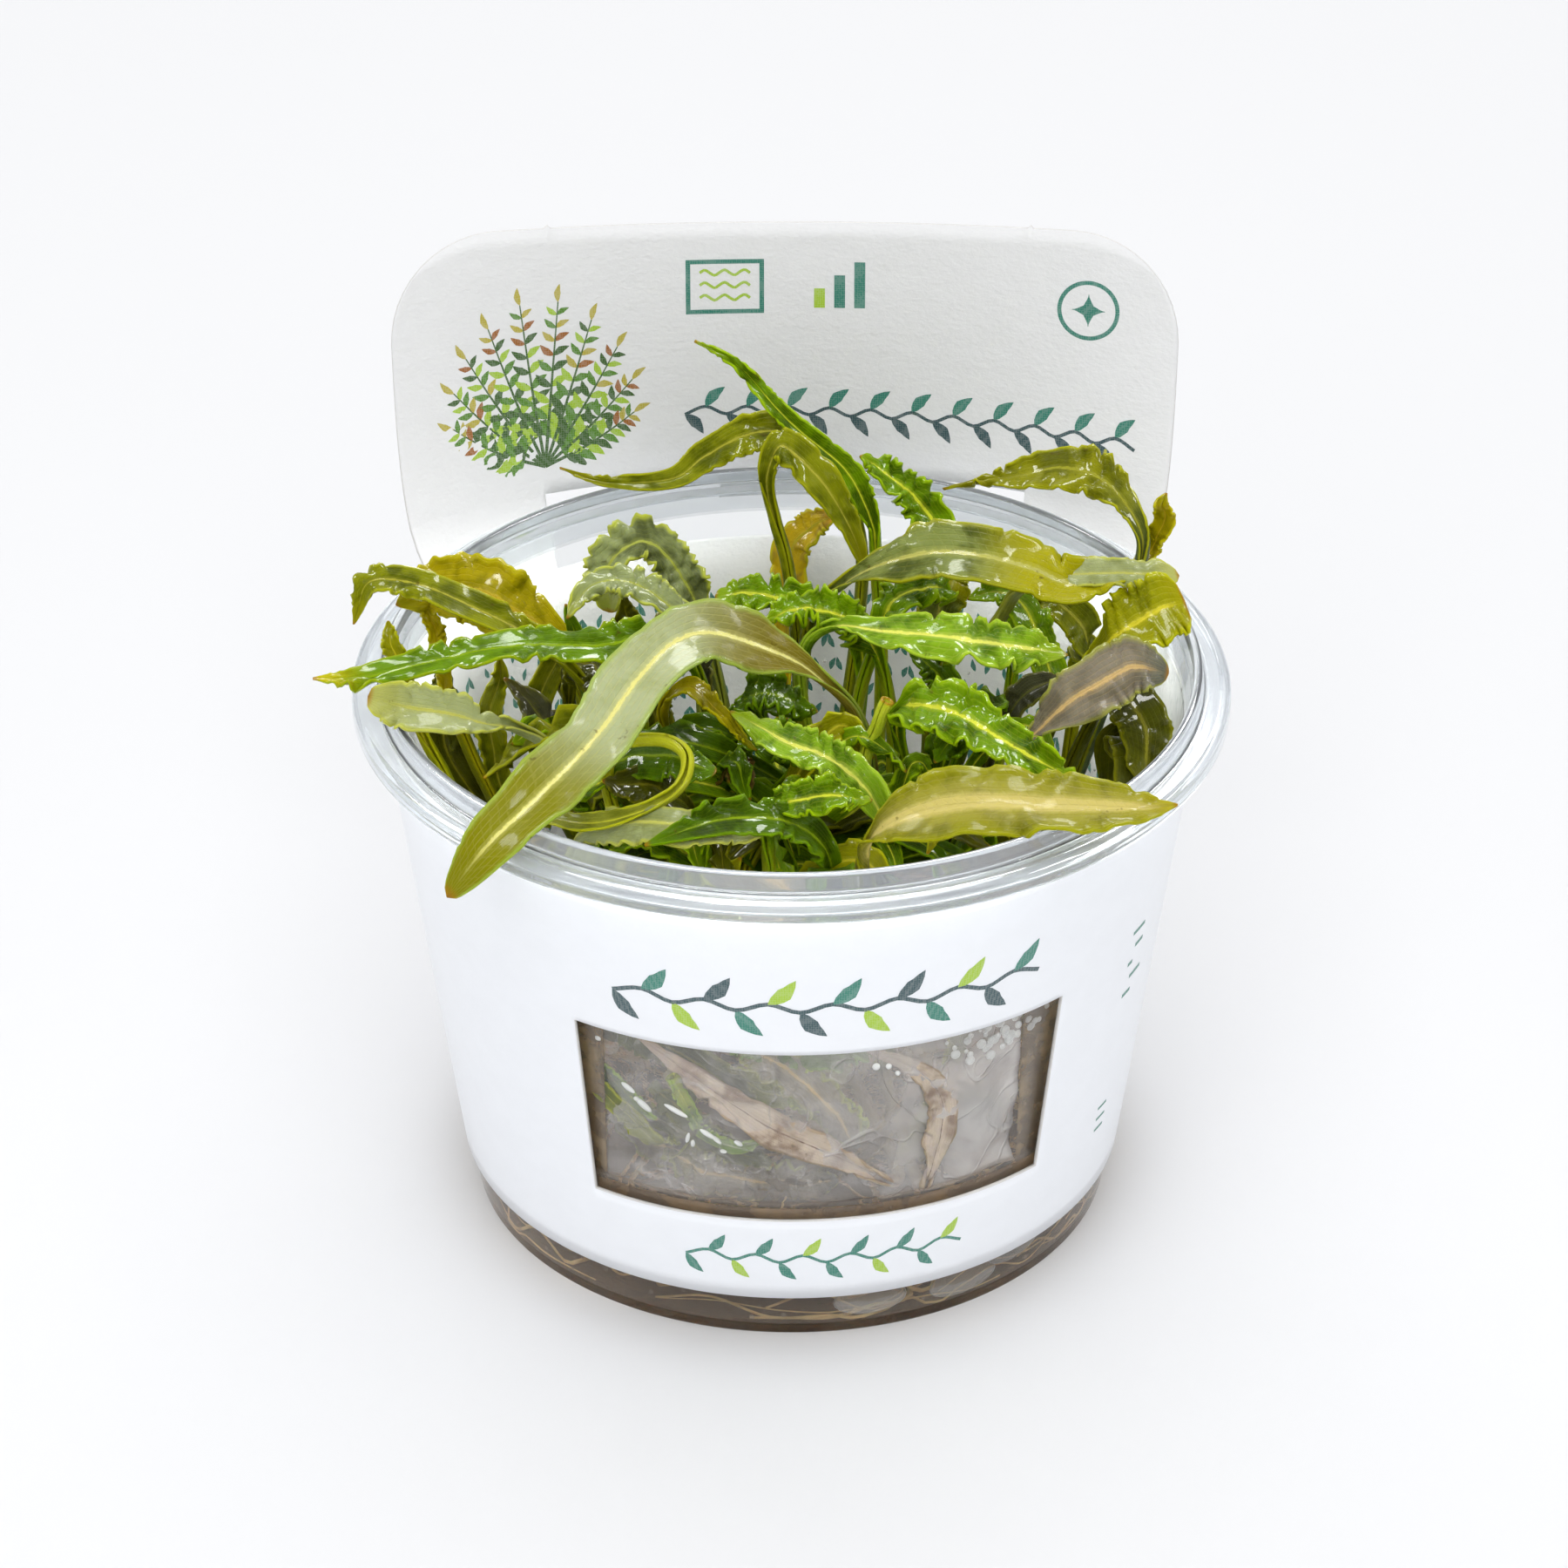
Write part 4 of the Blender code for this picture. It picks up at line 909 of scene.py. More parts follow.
def ink_material(name, color):
    """Printing ink with the faint dots of a halftone screen."""
    label = "ink_" + name
    if label in bpy.data.materials:
        return bpy.data.materials[label]
    material, tree, shader = new_material(label)
    where = object_coordinates(tree)
    dots = tree.nodes.new("ShaderNodeTexVoronoi")
    dots.inputs["Scale"].default_value = 3600.0
    dots.inputs["Randomness"].default_value = 0.25
    tree.links.new(where, dots.inputs["Vector"])
    screen = ramp(tree, dots.outputs["Distance"], 0.30, 0.62)
    pale = tuple(mixed(c, 0.85, 0.22) for c in color)
    tone = blend_color(tree, math_node(tree, "MULTIPLY", screen, 0.6), opaque(color), opaque(pale))
    tree.links.new(tone, shader.inputs["Base Color"])
    shader.inputs["Roughness"].default_value = 0.42
    shader.inputs["Coat Weight"].default_value = 0.1
    bump(tree, shader, screen, 0.15, 0.00005)
    return material


def root_material():
    """Pale tan root strands with darker lengths."""
    material, tree, shader = new_material("root_strand")
    patches = noise_node(tree, object_coordinates(tree), 180.0, 3.0, 0.6)
    tone = blend_color(
        tree, ramp(tree, patches, 0.35, 0.7), opaque((0.92, 0.74, 0.40)), opaque((0.52, 0.36, 0.16)))
    tree.links.new(tone, shader.inputs["Base Color"])
    shader.inputs["Roughness"].default_value = 0.5
    shader.inputs["Subsurface Weight"].default_value = 0.2
    shader.inputs["Subsurface Scale"].default_value = 0.001
    bump(tree, shader, patches, 0.4, 0.0002)
    return material


def crown_material():
    """Pale stem tissue, greener towards the top."""
    material, tree, shader = new_material("crown_tissue")
    where = object_coordinates(tree)
    split = tree.nodes.new("ShaderNodeSeparateXYZ")
    tree.links.new(where, split.inputs[0])
    rise = ramp(tree, split.outputs["Z"], CROWN_BASE * MM, (CROWN_BASE + 4.5) * MM)
    streaks = noise_node(tree, where, 700.0, 3.0)
    tone = blend_color(tree, rise, opaque((0.60, 0.52, 0.30)), opaque((0.28, 0.34, 0.05)))
    tone = blend_color(tree, ramp(tree, streaks, 0.45, 0.7), tone, opaque((0.22, 0.17, 0.06)))
    tree.links.new(tone, shader.inputs["Base Color"])
    shader.inputs["Roughness"].default_value = 0.4
    bump(tree, shader, streaks, 0.5, 0.0003)
    return material


def floor_material(tint):
    """Plain pale table top."""
    material, tree, shader = new_material("pale_floor")
    cloud = noise_node(tree, object_coordinates(tree), 3.0)
    darker = tuple(c * 0.99 for c in tint)
    tone = blend_color(tree, cloud, opaque(tint), opaque(darker))
    tree.links.new(tone, shader.inputs["Base Color"])
    shader.inputs["Roughness"].default_value = 0.9
    shader.inputs["Specular IOR Level"].default_value = 0.1
    return material


# Mesh helpers

def add_piece(name, bm, slot, *materials, thickness=0.0, offset=0.0, smooth=True):
    """Turn a bmesh in metres into a piece that rides on the cup."""
    mesh = bpy.data.meshes.new(name)
    bm.to_mesh(mesh)
    bm.free()
    for material in materials:
        mesh.materials.append(material)
    if smooth:
        mesh.shade_smooth()
    piece = bpy.data.objects.new(name, mesh)
    bpy.context.scene.collection.objects.link(piece)
    if thickness:
        solid = piece.modifiers.new("Thickness", "SOLIDIFY")
        solid.thickness = thickness * MM
        solid.offset = offset
    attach(piece, "root")
    return piece


def eased(points, radius, steps=4):
    """Outline with each inner corner rounded off by a short curve."""
    outline = [Vector(points[0])]
    for before, corner, after in zip(points, points[1:], points[2:]):
        before, corner, after = Vector(before), Vector(corner), Vector(after)
        reach = min(radius, (before - corner).length / 2.2, (after - corner).length / 2.2)
        start = corner + (before - corner).normalized() * reach
        end = corner + (after - corner).normalized() * reach
        for step in range(steps + 1):
            t = step / steps
            outline.append(start.lerp(corner, t).lerp(corner.lerp(end, t), t))
    outline.append(Vector(points[-1]))
    return outline


def spun(outline, steps):
    """Turn an outline of (radius, height) in mm a full turn about Z."""
    bm = bmesh.new()
    chain = [bm.verts.new((p[0] * MM, 0.0, p[1] * MM)) for p in outline]
    edges = [bm.edges.new(pair) for pair in zip(chain, chain[1:])]
    bmesh.ops.spin(
        bm, geom=chain + edges, cent=(0, 0, 0), axis=(0, 0, 1), angle=FULL_TURN,
        steps=steps, use_merge=True)
    bmesh.ops.remove_doubles(bm, verts=bm.verts, dist=0.000005)
    bmesh.ops.recalc_face_normals(bm, faces=bm.faces)
    return bm


def join_bmesh(target, source):
    """Add one bmesh's shape to another and free it."""
    mesh = bpy.data.meshes.new("joining")
    source.to_mesh(mesh)
    source.free()
    target.from_mesh(mesh)
    bpy.data.meshes.remove(mesh)


def wall_radius(height):
    """Outer radius of the cup's wall."""
    return BASE_RADIUS + WALL_SLOPE * height


def curve_point(points, t):
    """Point at t, from 0 to 1, on a smooth curve through the given points."""
    place = t * (len(points) - 1)
    i = min(int(place), len(points) - 2)
    u = place - i
    p1, p2 = points[i], points[i + 1]
    p0 = points[i - 1] if i > 0 else 2.0 * p1 - p2
    p3 = points[i + 2] if i + 2 < len(points) else 2.0 * p2 - p1
    a = 2.0 * p1
    b = p2 - p0
    c = 2.0 * p0 - 5.0 * p1 + 4.0 * p2 - p3
    d = 3.0 * p1 - p0 - 3.0 * p2 + p3
    return 0.5 * (a + b * u + c * u * u + d * u * u * u)


def between(values, t):
    """Value at t, from 0 to 1, along an evenly spaced list."""
    place = t * (len(values) - 1)
    i = min(int(place), len(values) - 2)
    return mixed(values[i], values[i + 1], smooth_step(place - i))


def film_gap(across, up):
    """Distance of the folded film from the wall, by its shares across and up."""
    bulge = noise.noise(Vector((across * 6.0, up * 3.0, 2.0)))
    crease = abs(noise.noise(Vector((across * 9.0, up * 5.0, 5.0))))
    return 0.5 + 1.5 * max(bulge, 0.0) + 1.4 * crease * across


def smear_and_painted_shade_gap(_across, _up):
    """Distance of the brown smears, partly painted shade, from the wall, the same all over."""
    return SMEAR_AND_PAINTED_SHADE_GAP


def wall_sheet(bm, columns, rows, left, right, low, high, gap):
    """Lay a sheet near the inner wall; left and right are turns from the front, low and high."""
    fresh = bmesh.ops.create_grid(bm, x_segments=columns, y_segments=rows, size=0.5)["verts"]
    for vertex in fresh:
        across, up = vertex.co.x + 0.5, vertex.co.y + 0.5
        turn = math.radians(mixed(mixed(*left, up), mixed(*right, up), across) - 90.0)
        height = mixed(low, high, up)
        radius = wall_radius(height) - WALL - gap(across, up)
        vertex.co = Vector((math.cos(turn) * radius, math.sin(turn) * radius, height)) * MM


# Card sleeve

def bend_amount(s, z):
    """How far the card has left the cup's cone for the flatter header."""
    up = smooth_step((z - BEND_START) / (BEND_END - BEND_START))
    beyond = abs(s - HEADER_SHIFT) - HEADER_HALF
    return up * (1.0 - smooth_step(beyond / BEND_FADE))


def sleeve_point(s, z):
    """Place a point of the flat blank on the bent card's inner face, in mm."""
    turn = s / BACK_RADIUS
    radius = SLEEVE_RADIUS + SLEEVE_SLOPE * z
    header_radius = HEADER_RADIUS + HEADER_RADIUS_GROWTH * max(z - SLEEVE_TOP, 0.0)
    header_turn = s / header_radius
    back = HEADER_BACK + HEADER_LEAN * (z - SLOT_HIGH)
    on_cone = Vector((radius * math.sin(turn), radius * math.cos(turn), z))
    on_header = Vector((
        header_radius * math.sin(header_turn),
        back - header_radius * (1.0 - math.cos(header_turn)),
        z,
    ))
    return on_cone.lerp(on_header, bend_amount(s, z))


def card_point(s, z, out):
    """Point at a distance outside the card's inner face, in mm."""
    here = sleeve_point(s, z)
    normal = (sleeve_point(s + 0.1, z) - here).cross(sleeve_point(s, z + 0.1) - here)
    return here - normal.normalized() * out


def round_corner(s, z):
    """Pull the header's two square top corners in to quarter circles."""
    across = abs(s - HEADER_SHIFT) - (HEADER_HALF - HEADER_CORNER)
    above = z - (HEADER_TOP - HEADER_CORNER)
    if across <= 0.0 or above <= 0.0:
        return s, z
    u = across / HEADER_CORNER
    v = above / HEADER_CORNER
    side = math.copysign(1.0, s - HEADER_SHIFT)
    new_across = HEADER_CORNER * u * math.sqrt(1.0 - v * v / 2.0)
    new_above = HEADER_CORNER * v * math.sqrt(1.0 - u * u / 2.0)
    new_s = HEADER_SHIFT + side * (HEADER_HALF - HEADER_CORNER + new_across)
    return new_s, HEADER_TOP - HEADER_CORNER + new_above


def is_card(s, z):
    """Whether the blank has card at this place."""
    across = abs(s - HEADER_SHIFT)
    if WINDOW_LOW < z < WINDOW_HIGH and (s > WINDOW_RIGHT_EDGE or s < WINDOW_LEFT_EDGE):
        return False
    if SLOT_LOW < z < SLOT_HIGH and across < SLOT_HALF:
        return z > TAB_LOW and across < TAB_HALF
    return z < SLEEVE_TOP or across < HEADER_HALF


def cut_line(bm, point, normal):
    """Add an edge line right across the flat blank."""
    geometry = bm.verts[:] + bm.edges[:] + bm.faces[:]
    bmesh.ops.bisect_plane(bm, geom=geometry, dist=1e-6, plane_co=point, plane_no=normal)


def card_blank(columns, rows):
    """Flat grid for the blank, in mm, with a line along each edge that is cut."""
    tall = HEADER_TOP - SLEEVE_BOTTOM
    bm = bmesh.new()
    bmesh.ops.create_grid(bm, x_segments=columns, y_segments=rows, size=0.5)
    bmesh.ops.scale(bm, vec=(2.0 * HALF_BLANK, tall, 1.0), verts=bm.verts)
    bmesh.ops.translate(bm, vec=(0.0, SLEEVE_BOTTOM + tall / 2.0, 0.0), verts=bm.verts)
    for z in (WINDOW_LOW, WINDOW_HIGH, SLOT_LOW, SLEEVE_TOP, TAB_LOW, SLOT_HIGH,
              HEADER_TOP - HEADER_CORNER):
        cut_line(bm, (0.0, z, 0.0), (0.0, 1.0, 0.0))
    places = [WINDOW_RIGHT_EDGE, WINDOW_LEFT_EDGE]
    for width in (HEADER_HALF, HEADER_HALF - HEADER_CORNER, SLOT_HALF, TAB_HALF):
        places += [HEADER_SHIFT - width, HEADER_SHIFT + width]
    for nib in NIBS:
        places += [nib - NIB_HALF, nib, nib + NIB_HALF]
    for s in places:
        cut_line(bm, (s, 0.0, 0.0), (1.0, 0.0, 0.0))
    for vertex in bm.verts:
        from_nib = min(abs(vertex.co.x - nib) for nib in NIBS)
        if vertex.co.y > HEADER_TOP - 0.01 and from_nib < NIB_REACH:
            vertex.co.y += NIB_RISE
    return bm


# Print on the card

OUTSIDE = CARD + 0.012
INSIDE = -0.012
INK_SKIN = 0.01
SPRAY_FOOT = Vector((-30.0, 67.5))
SPRAY_HEIGHT = 21.0
SPRAY_LEAFLET = 3.3
SPRAY_LEANS = (-62, -47, -33, -20, -7, 6, 19, 33, 48, 63)
SPRAY_INKS = ("leaf", "lime", "moss", "rust", "gold")
SPRAY_KNOTS = 11
TANK_SIDES = (-12.3, -3.5)
TANK_ENDS = (85.6, 92.0)
TANK_WAVES = (87.4, 89.0, 90.6)
TANK_LINE = (0.55, 0.55)
BAR_LEFT = 3.4
BAR_PITCH = 2.4
BAR_FOOT = 86.0
BAR_TOPS = (88.5, 90.2, 91.9)
BAR_LINE = (1.3, 1.3)
RING_CENTRE = (35.6, 87.2)
RING_RADIUS = 3.5
STAR_REACH = 2.0
STAR_WIDTHS = (0.05, 1.5, 0.05)
HEADER_VINE = ((-12.8, 72.9), (42.0, 71.6))
UPPER_VINE = ((-26.0, 49.5), (37.5, 49.0))
LOWER_VINE = ((-17.5, 12.4), (29.0, 12.0))
UPPER_DASHES = 5
UPPER_DASH_TURN = 61.0
UPPER_DASH_TOP = 44.0
UPPER_DASH_PITCH = 2.2
LOWER_DASHES = 3
LOWER_DASH_TURN = 60.0
LOWER_DASH_TOP = 19.5
LOWER_DASH_PITCH = 1.6
LOWER_DASH_LENGTH = 2.4
LEAF_ROWS = 9
LEAF_ROW_TOP = 51.0
LEAF_ROW_PITCH = 2.9
LEAF_ROW_ENDS = (-50.0, 48.0)
LEAF_ROW_SEED = 3
LEAF_MARK_PITCH = 1.5
INKS = {
    "slate": (0.035, 0.085, 0.095),
    "teal": (0.03, 0.22, 0.16),
    "lime": (0.38, 0.58, 0.03),
    "leaf": (0.10, 0.26, 0.02),
    "moss": (0.05, 0.13, 0.02),
    "rust": (0.36, 0.13, 0.02),
    "gold": (0.50, 0.42, 0.05),
}


def print_stroke(bm, points, widths, ink, side, steps=12):
    """Draw one stroke of print, from flat (s, z) points, on a side of the card."""
    path = [Vector((p[0], p[1], 0.0)) for p in points]
    fresh = bmesh.ops.create_grid(bm, x_segments=1, y_segments=steps, size=0.5)["verts"]
    for vertex in fresh:
        t = vertex.co.y + 0.5
        here = curve_point(path, t)
        behind = curve_point(path, max(t - CURVE_STEP, 0.0))
        ahead = curve_point(path, min(t + CURVE_STEP, 1.0)) - behind
        across = Vector((ahead.y, -ahead.x, 0.0)).normalized()
        spot = here + across * between(widths, t) * vertex.co.x
        vertex.co = card_point(spot.x, spot.y, side) * MM
    for face in {f for v in fresh for f in v.link_faces}:
        face.material_index = list(INKS).index(ink)


def print_ring(bm, centre, radius, width, ink, side, squash=1.0):
    """Draw a printed ring."""
    turns = 24
    points = [
        (centre[0] + radius * math.cos(FULL_TURN * i / turns),
         centre[1] + radius * squash * math.sin(FULL_TURN * i / turns))
        for i in range(turns + 1)
    ]
    print_stroke(bm, points, (width, width), ink, side, steps=48)


def print_leaflet(bm, base, length, turn, width, ink, side):
    """Draw a printed pointed oval leaf from its base, at a turn in degrees."""
    angle = math.radians(turn)
    along = Vector((math.cos(angle), math.sin(angle)))
    bow = Vector((-along.y, along.x)) * length * 0.08
    start = Vector(base)
    points = [start, start + along * length * 0.5 + bow, start + along * length]
    print_stroke(bm, points, (0.08, width * 0.8, width, width * 0.6, 0.05), ink, side, steps=6)


def print_piece(name, bm):
    """Finish a layer of print."""
    bmesh.ops.recalc_face_normals(bm, faces=bm.faces)
    inks = [ink_material(ink, color) for ink, color in INKS.items()]
    return add_piece(name, bm, "white_card", *inks, thickness=INK_SKIN, smooth=False)


def vine(bm, start, end, leaf, inks, side, sway=0.6, count=12):
    """Draw a running stem with leaves that alternate above and below it."""
    start, end = Vector(start), Vector(end)
    stem = []
    for i in range(count + 1):
        point = start.lerp(end, i / count)
        stem.append((point.x, point.y + sway * (0.5 if i % 2 else -0.5)))
    print_stroke(bm, stem, (leaf * 0.12, leaf * 0.12), inks[0], side, steps=count * 4)
    heading = math.degrees(math.atan2(end.y - start.y, end.x - start.x))
    for i in range(count):
        lean = 48.0 if i % 2 else -48.0
        if end.x < start.x:
            lean = -lean
        print_leaflet(bm, stem[i], leaf, heading + lean, leaf * 0.42, inks[i % len(inks)], side)


# Strap leaves

def strap_width(t, strap):
    """Width along a strap leaf: narrow stalk, long blade, pointed tip."""
    spread = smooth_step((t - strap.stalk * 0.6) / (strap.stalk * 0.8))
    body = mixed(STALK_WIDTH, strap.width, spread)
    left = min((1.0 - t) / strap.tip, 1.0)
    return mixed(TIP_WIDTH, body, (left * (2.0 - left)) ** strap.point)


def strap_frames(strap, rows, seed):
    """Centre, direction, side, face and width for each row of a strap leaf."""
    points = [Vector(p) for p in strap.route]
    frames = []
    side = None
    for row in range(rows + 1):
        t = row / rows
        here = curve_point(points, t)
        ahead = curve_point(points, min(t + CURVE_STEP, 1.0))
        along = (ahead - curve_point(points, max(t - CURVE_STEP, 0.0))).normalized()
        outward = Vector((here.x, here.y, 0.0)) if strap.pressed else LEAF_FACE
        across = along.cross(outward).normalized()
        if side and across.dot(side) < 0.0:
            across = -across
        side = across
        twist = 22.0 * strap.wave * smooth_step(t * 2.0) * noise.noise(Vector((t * 3.5, seed, 6.0)))
        turn = Matrix.Rotation(math.radians(between(strap.turns, t) + twist), 3, along)
        across = turn @ across
        face = across.cross(along)
        frames.append((t, here, along, across, face, strap_width(t, strap) / 2.0))
    return frames


def strap_mesh(strap, rows, columns, seed):
    """Grid laid along a leaf's midrib: rolled stalk, folded blade, puckered and waved."""
    bm = bmesh.new()
    bm.loops.layers.uv.new("UVMap")
    bmesh.ops.create_grid(bm, x_segments=columns, y_segments=rows, size=0.5, calc_uvs=True)
    frames = strap_frames(strap, rows, seed)
    for vertex in bm.verts:
        t, here, along, across, face, half = frames[round((vertex.co.y + 0.5) * rows)]
        u = vertex.co.x * 2.0
        side = math.copysign(1.0, u)
        edge = abs(u)
        spread = smooth_step((t - strap.stalk * 0.55) / (strap.stalk * 0.75))
        live = spread * smooth_step((1.0 - t) / 0.1)
        drift = noise.noise(Vector((t * 5.0, seed, side * 3.0)))
        drift += 0.5 * noise.noise(Vector((t * 14.0, seed + 2.0, side * 9.0)))
        strength = max(0.75 + 1.9 * noise.noise(Vector((t * 8.0, seed + 4.0, side * 5.0))), 0.1)
        half *= 1.0 + 0.16 * live * noise.noise(Vector((t * 11.0, seed + 8.0, side * 7.0)))
        turns = strap.waves * t + 1.6 * drift - 0.35 * edge + (0.4 if u > 0.0 else 0.0) + seed
        phase = FULL_TURN * turns
        ruffle = math.sin(phase) + 0.3 * math.sin(2.0 * phase + 1.0)
        pucker = math.sin(math.pi * min(edge * 1.15, 1.0)) * math.cos(phase + 0.9)
        blister = noise.noise(Vector((u * 2.2, t * strap.waves * 1.7, seed * 5.0)))
        crinkle = edge ** 1.6 * ruffle + 0.45 * pucker + 0.6 * edge * blister
        lift = strap.wave * live * strength * crinkle
        lift += strap.fold * half * edge ** 1.5 * spread
        lift -= 0.22 * live * math.exp(-(u / 0.13) ** 2)
        frill = 0.3 * strap.wave * live * strength * edge * math.cos(phase * 2.0)
        blade = across * (half * u + side * frill * edge) + face * lift
        roll = u * STALK_ROLL
        tube = (across * math.sin(roll) - face * math.cos(roll)) * STALK_RADIUS
        wobble = Vector((
            noise.noise(Vector((t * 5.0, seed, 0.0))),
            noise.noise(Vector((t * 5.0, seed, 9.0))),
            0.0,
        )) * 0.8
        steady = min(t * 8.0, 1.0)
        vertex.co = (here + wobble * steady + tube.lerp(blade, spread)) * MM
    return bm


def contained(bm, margin):
    """Keep the points that are inside the cup's mouth off its wall."""
    for vertex in bm.verts:
        height = vertex.co.z / MM
        if height > LIP_TOP - 1.0:
            continue
        limit = (wall_radius(height) - WALL - margin) * MM
        flat = vertex.co.xy
        if limit < flat.length < limit + 4.0 * MM:
            vertex.co.xy = flat.normalized() * limit


def laid_on_wall(strap, gap):
    """The same leaf with its places of (turn, height) put on the cup's inner wall."""
    route = []
    for turn, height in strap.route:
        radius = wall_radius(height) - WALL - gap
        angle = math.radians(turn - 90.0)
        route.append((math.cos(angle) * radius, math.sin(angle) * radius, height))
    return strap._replace(route=tuple(route), fold=0.0, pressed=True)


def add_leaf(name, strap, rows, settings, seed):
    """Add one strap leaf as a piece."""
    bm = strap_mesh(strap, rows, settings.leaf_columns, seed)
    contained(bm, LEAF_MARGIN)
    finish = FINISHES[strap.finish]
    return add_piece(
        name, bm, finish.slot, leaf_material(strap.finish), thickness=settings.blade / MM)


def filler_strap(rng):
    """Make up a small leaf that fills the cup between the named ones."""
    heading = rng.uniform(-math.pi, math.pi)
    back = math.sin(heading) > -0.15
    crown = Vector((*rng.choice(list(CROWNS.values())), FILLER_ROOT))
    top = rng.uniform(29.0, 43.0) if back else rng.uniform(42.0, 63.0)
    far = rng.uniform(0.1, 1.0) ** 0.5 * FILLER_SPREAD
    end = Vector((math.cos(heading) * far, math.sin(heading) * far, top - rng.uniform(0.0, 6.0)))
    middle = crown.lerp(end, 0.35)
    middle.z = mixed(FILLER_ROOT, top, 0.6)
    late = crown.lerp(end, 0.75)
    late.z = top
    return Strap(
        finish=rng.choice(FILLER_FINISHES),
        width=rng.uniform(2.4, 4.8),
        route=tuple(tuple(point) for point in (crown, middle, late, end)),
        stalk=rng.uniform(0.3, 0.55),
        tip=rng.uniform(0.2, 0.5),
        point=0.9,
        wave=rng.uniform(0.5, 1.2),
        waves=rng.uniform(7.0, 12.0),
        fold=rng.uniform(0.0, 0.3),
        turns=(0.0, rng.uniform(-40.0, 40.0), rng.uniform(-60.0, 60.0)),
    )


# Settings

class PLANTCUP_PG_stage(bpy.types.PropertyGroup):
    """Camera, floor and lights."""

    camera_x: bpy.props.FloatProperty(
        name="Camera Side", description="Camera place along X", default=-0.00084,
        subtype="DISTANCE", unit="LENGTH")
    camera_y: bpy.props.FloatProperty(
        name="Camera Back", description="Camera place along Y", default=-0.5785,
        subtype="DISTANCE", unit="LENGTH")
    camera_z: bpy.props.FloatProperty(
        name="Camera Height", description="Camera height", default=0.3991,
        subtype="DISTANCE", unit="LENGTH")
    aim_z: bpy.props.FloatProperty(
        name="Aim Height", description="Height that the camera looks at", default=0.0508,
        subtype="DISTANCE", unit="LENGTH")
    lens: bpy.props.FloatProperty(
        name="Lens", description="Focal length in millimetres", default=134.7)
    floor: bpy.props.FloatVectorProperty(
        name="Floor", description="Colour of the floor", size=3, subtype="COLOR",
        default=(0.78, 0.78, 0.785))
    sky: bpy.props.FloatProperty(
        name="Sky", description="Strength of the soft light all round", default=0.72)
    gloss_sky: bpy.props.FloatProperty(
        name="Sky in Gloss", description="Strength of that light in reflections", default=0.06)
    key: bpy.props.FloatProperty(
        name="Key", description="Power of the large light overhead", default=7.0, unit="POWER")
    fill: bpy.props.FloatProperty(
        name="Fill", description="Power of the light from the front", default=6.0, unit="POWER")
    gloss: bpy.props.FloatProperty(
        name="Gloss", description="Power of the small lights seen only in gloss", default=8.0,
        unit="POWER")


class PLANTCUP_PG_cup(bpy.types.PropertyGroup):
    """Clear cup and what is in its bottom."""

    steps: bpy.props.IntProperty(
        name="Steps", description="Steps in a full turn", default=180, min=24)
    tint: bpy.props.FloatVectorProperty(
        name="Plastic", description="Tint of the clear plastic", size=3, subtype="COLOR",
        default=(0.96, 0.975, 0.975))
    roughness: bpy.props.FloatProperty(
        name="Haze", description="Roughness of the plastic", default=0.0, min=0.0, max=1.0)
    rim_tint: bpy.props.FloatVectorProperty(
        name="Rim", description="Tint of the thick rim", size=3, subtype="COLOR",
        default=(0.76, 0.79, 0.815))
    rim_clearness: bpy.props.FloatProperty(
        name="Rim Clearness", description="How clear the thick rim is", default=0.8, min=0.0, max=1.0)
    gel: bpy.props.FloatVectorProperty(
        name="Gel", description="Absorption colour of the gel", size=3, subtype="COLOR",
        default=(0.72, 0.60, 0.47))
    gel_density: bpy.props.FloatProperty(
        name="Gel Density", description="Absorption density, for each metre", default=26.0)
    roots: bpy.props.IntProperty(
        name="Roots", description="Number of root strands", default=80, min=1)


class PLANTCUP_PG_sleeve(bpy.types.PropertyGroup):
    """Printed card."""

    columns: bpy.props.IntProperty(
        name="Columns", description="Columns round the card", default=170, min=24)
    rows: bpy.props.IntProperty(
        name="Rows", description="Rows up the card", default=44, min=8)
    tint: bpy.props.FloatVectorProperty(
        name="Coated Face", description="Colour of the card's coated outer face", size=3,
        subtype="COLOR", default=(0.90, 0.92, 0.955))
    # Painted light: the bare face below the slot, lighter and warmer than the header, for light glowing
    # through the card.
    inner_painted_glow_tint: bpy.props.FloatVectorProperty(
        name="Bare Face", description="Colour of the card's bare inner face", size=3,
        subtype="COLOR", default=(0.96, 0.945, 0.91))
    # Painted shade: the same bare face on the header, painted greyer.
    header_painted_shade_tint: bpy.props.FloatVectorProperty(
        name="Header Face", description="Colour of the header's bare face", size=3,
        subtype="COLOR", default=(0.83, 0.83, 0.83))


class PLANTCUP_PG_plants(bpy.types.PropertyGroup):
    """Leaves."""

    leaf_rows: bpy.props.IntProperty(
        name="Rows", description="Rows along a leaf", default=130, min=12)
    leaf_columns: bpy.props.IntProperty(
        name="Columns", description="Columns across a leaf", default=12, min=2)
    small_rows: bpy.props.IntProperty(
        name="Small Leaf Rows", description="Rows along a smaller leaf", default=96, min=12)
    filler_rows: bpy.props.IntProperty(
        name="Filler Rows", description="Rows along a filler leaf", default=36, min=8)
    blade: bpy.props.FloatProperty(
        name="Blade", description="Thickness of a leaf", default=0.00032,
        subtype="DISTANCE", unit="LENGTH")
    fillers: bpy.props.IntProperty(
        name="Fillers", description="Number of small leaves in the cup", default=150, min=0)
    seed: bpy.props.IntProperty(
        name="Seed", description="Seed of what is scattered", default=7)


# Operators

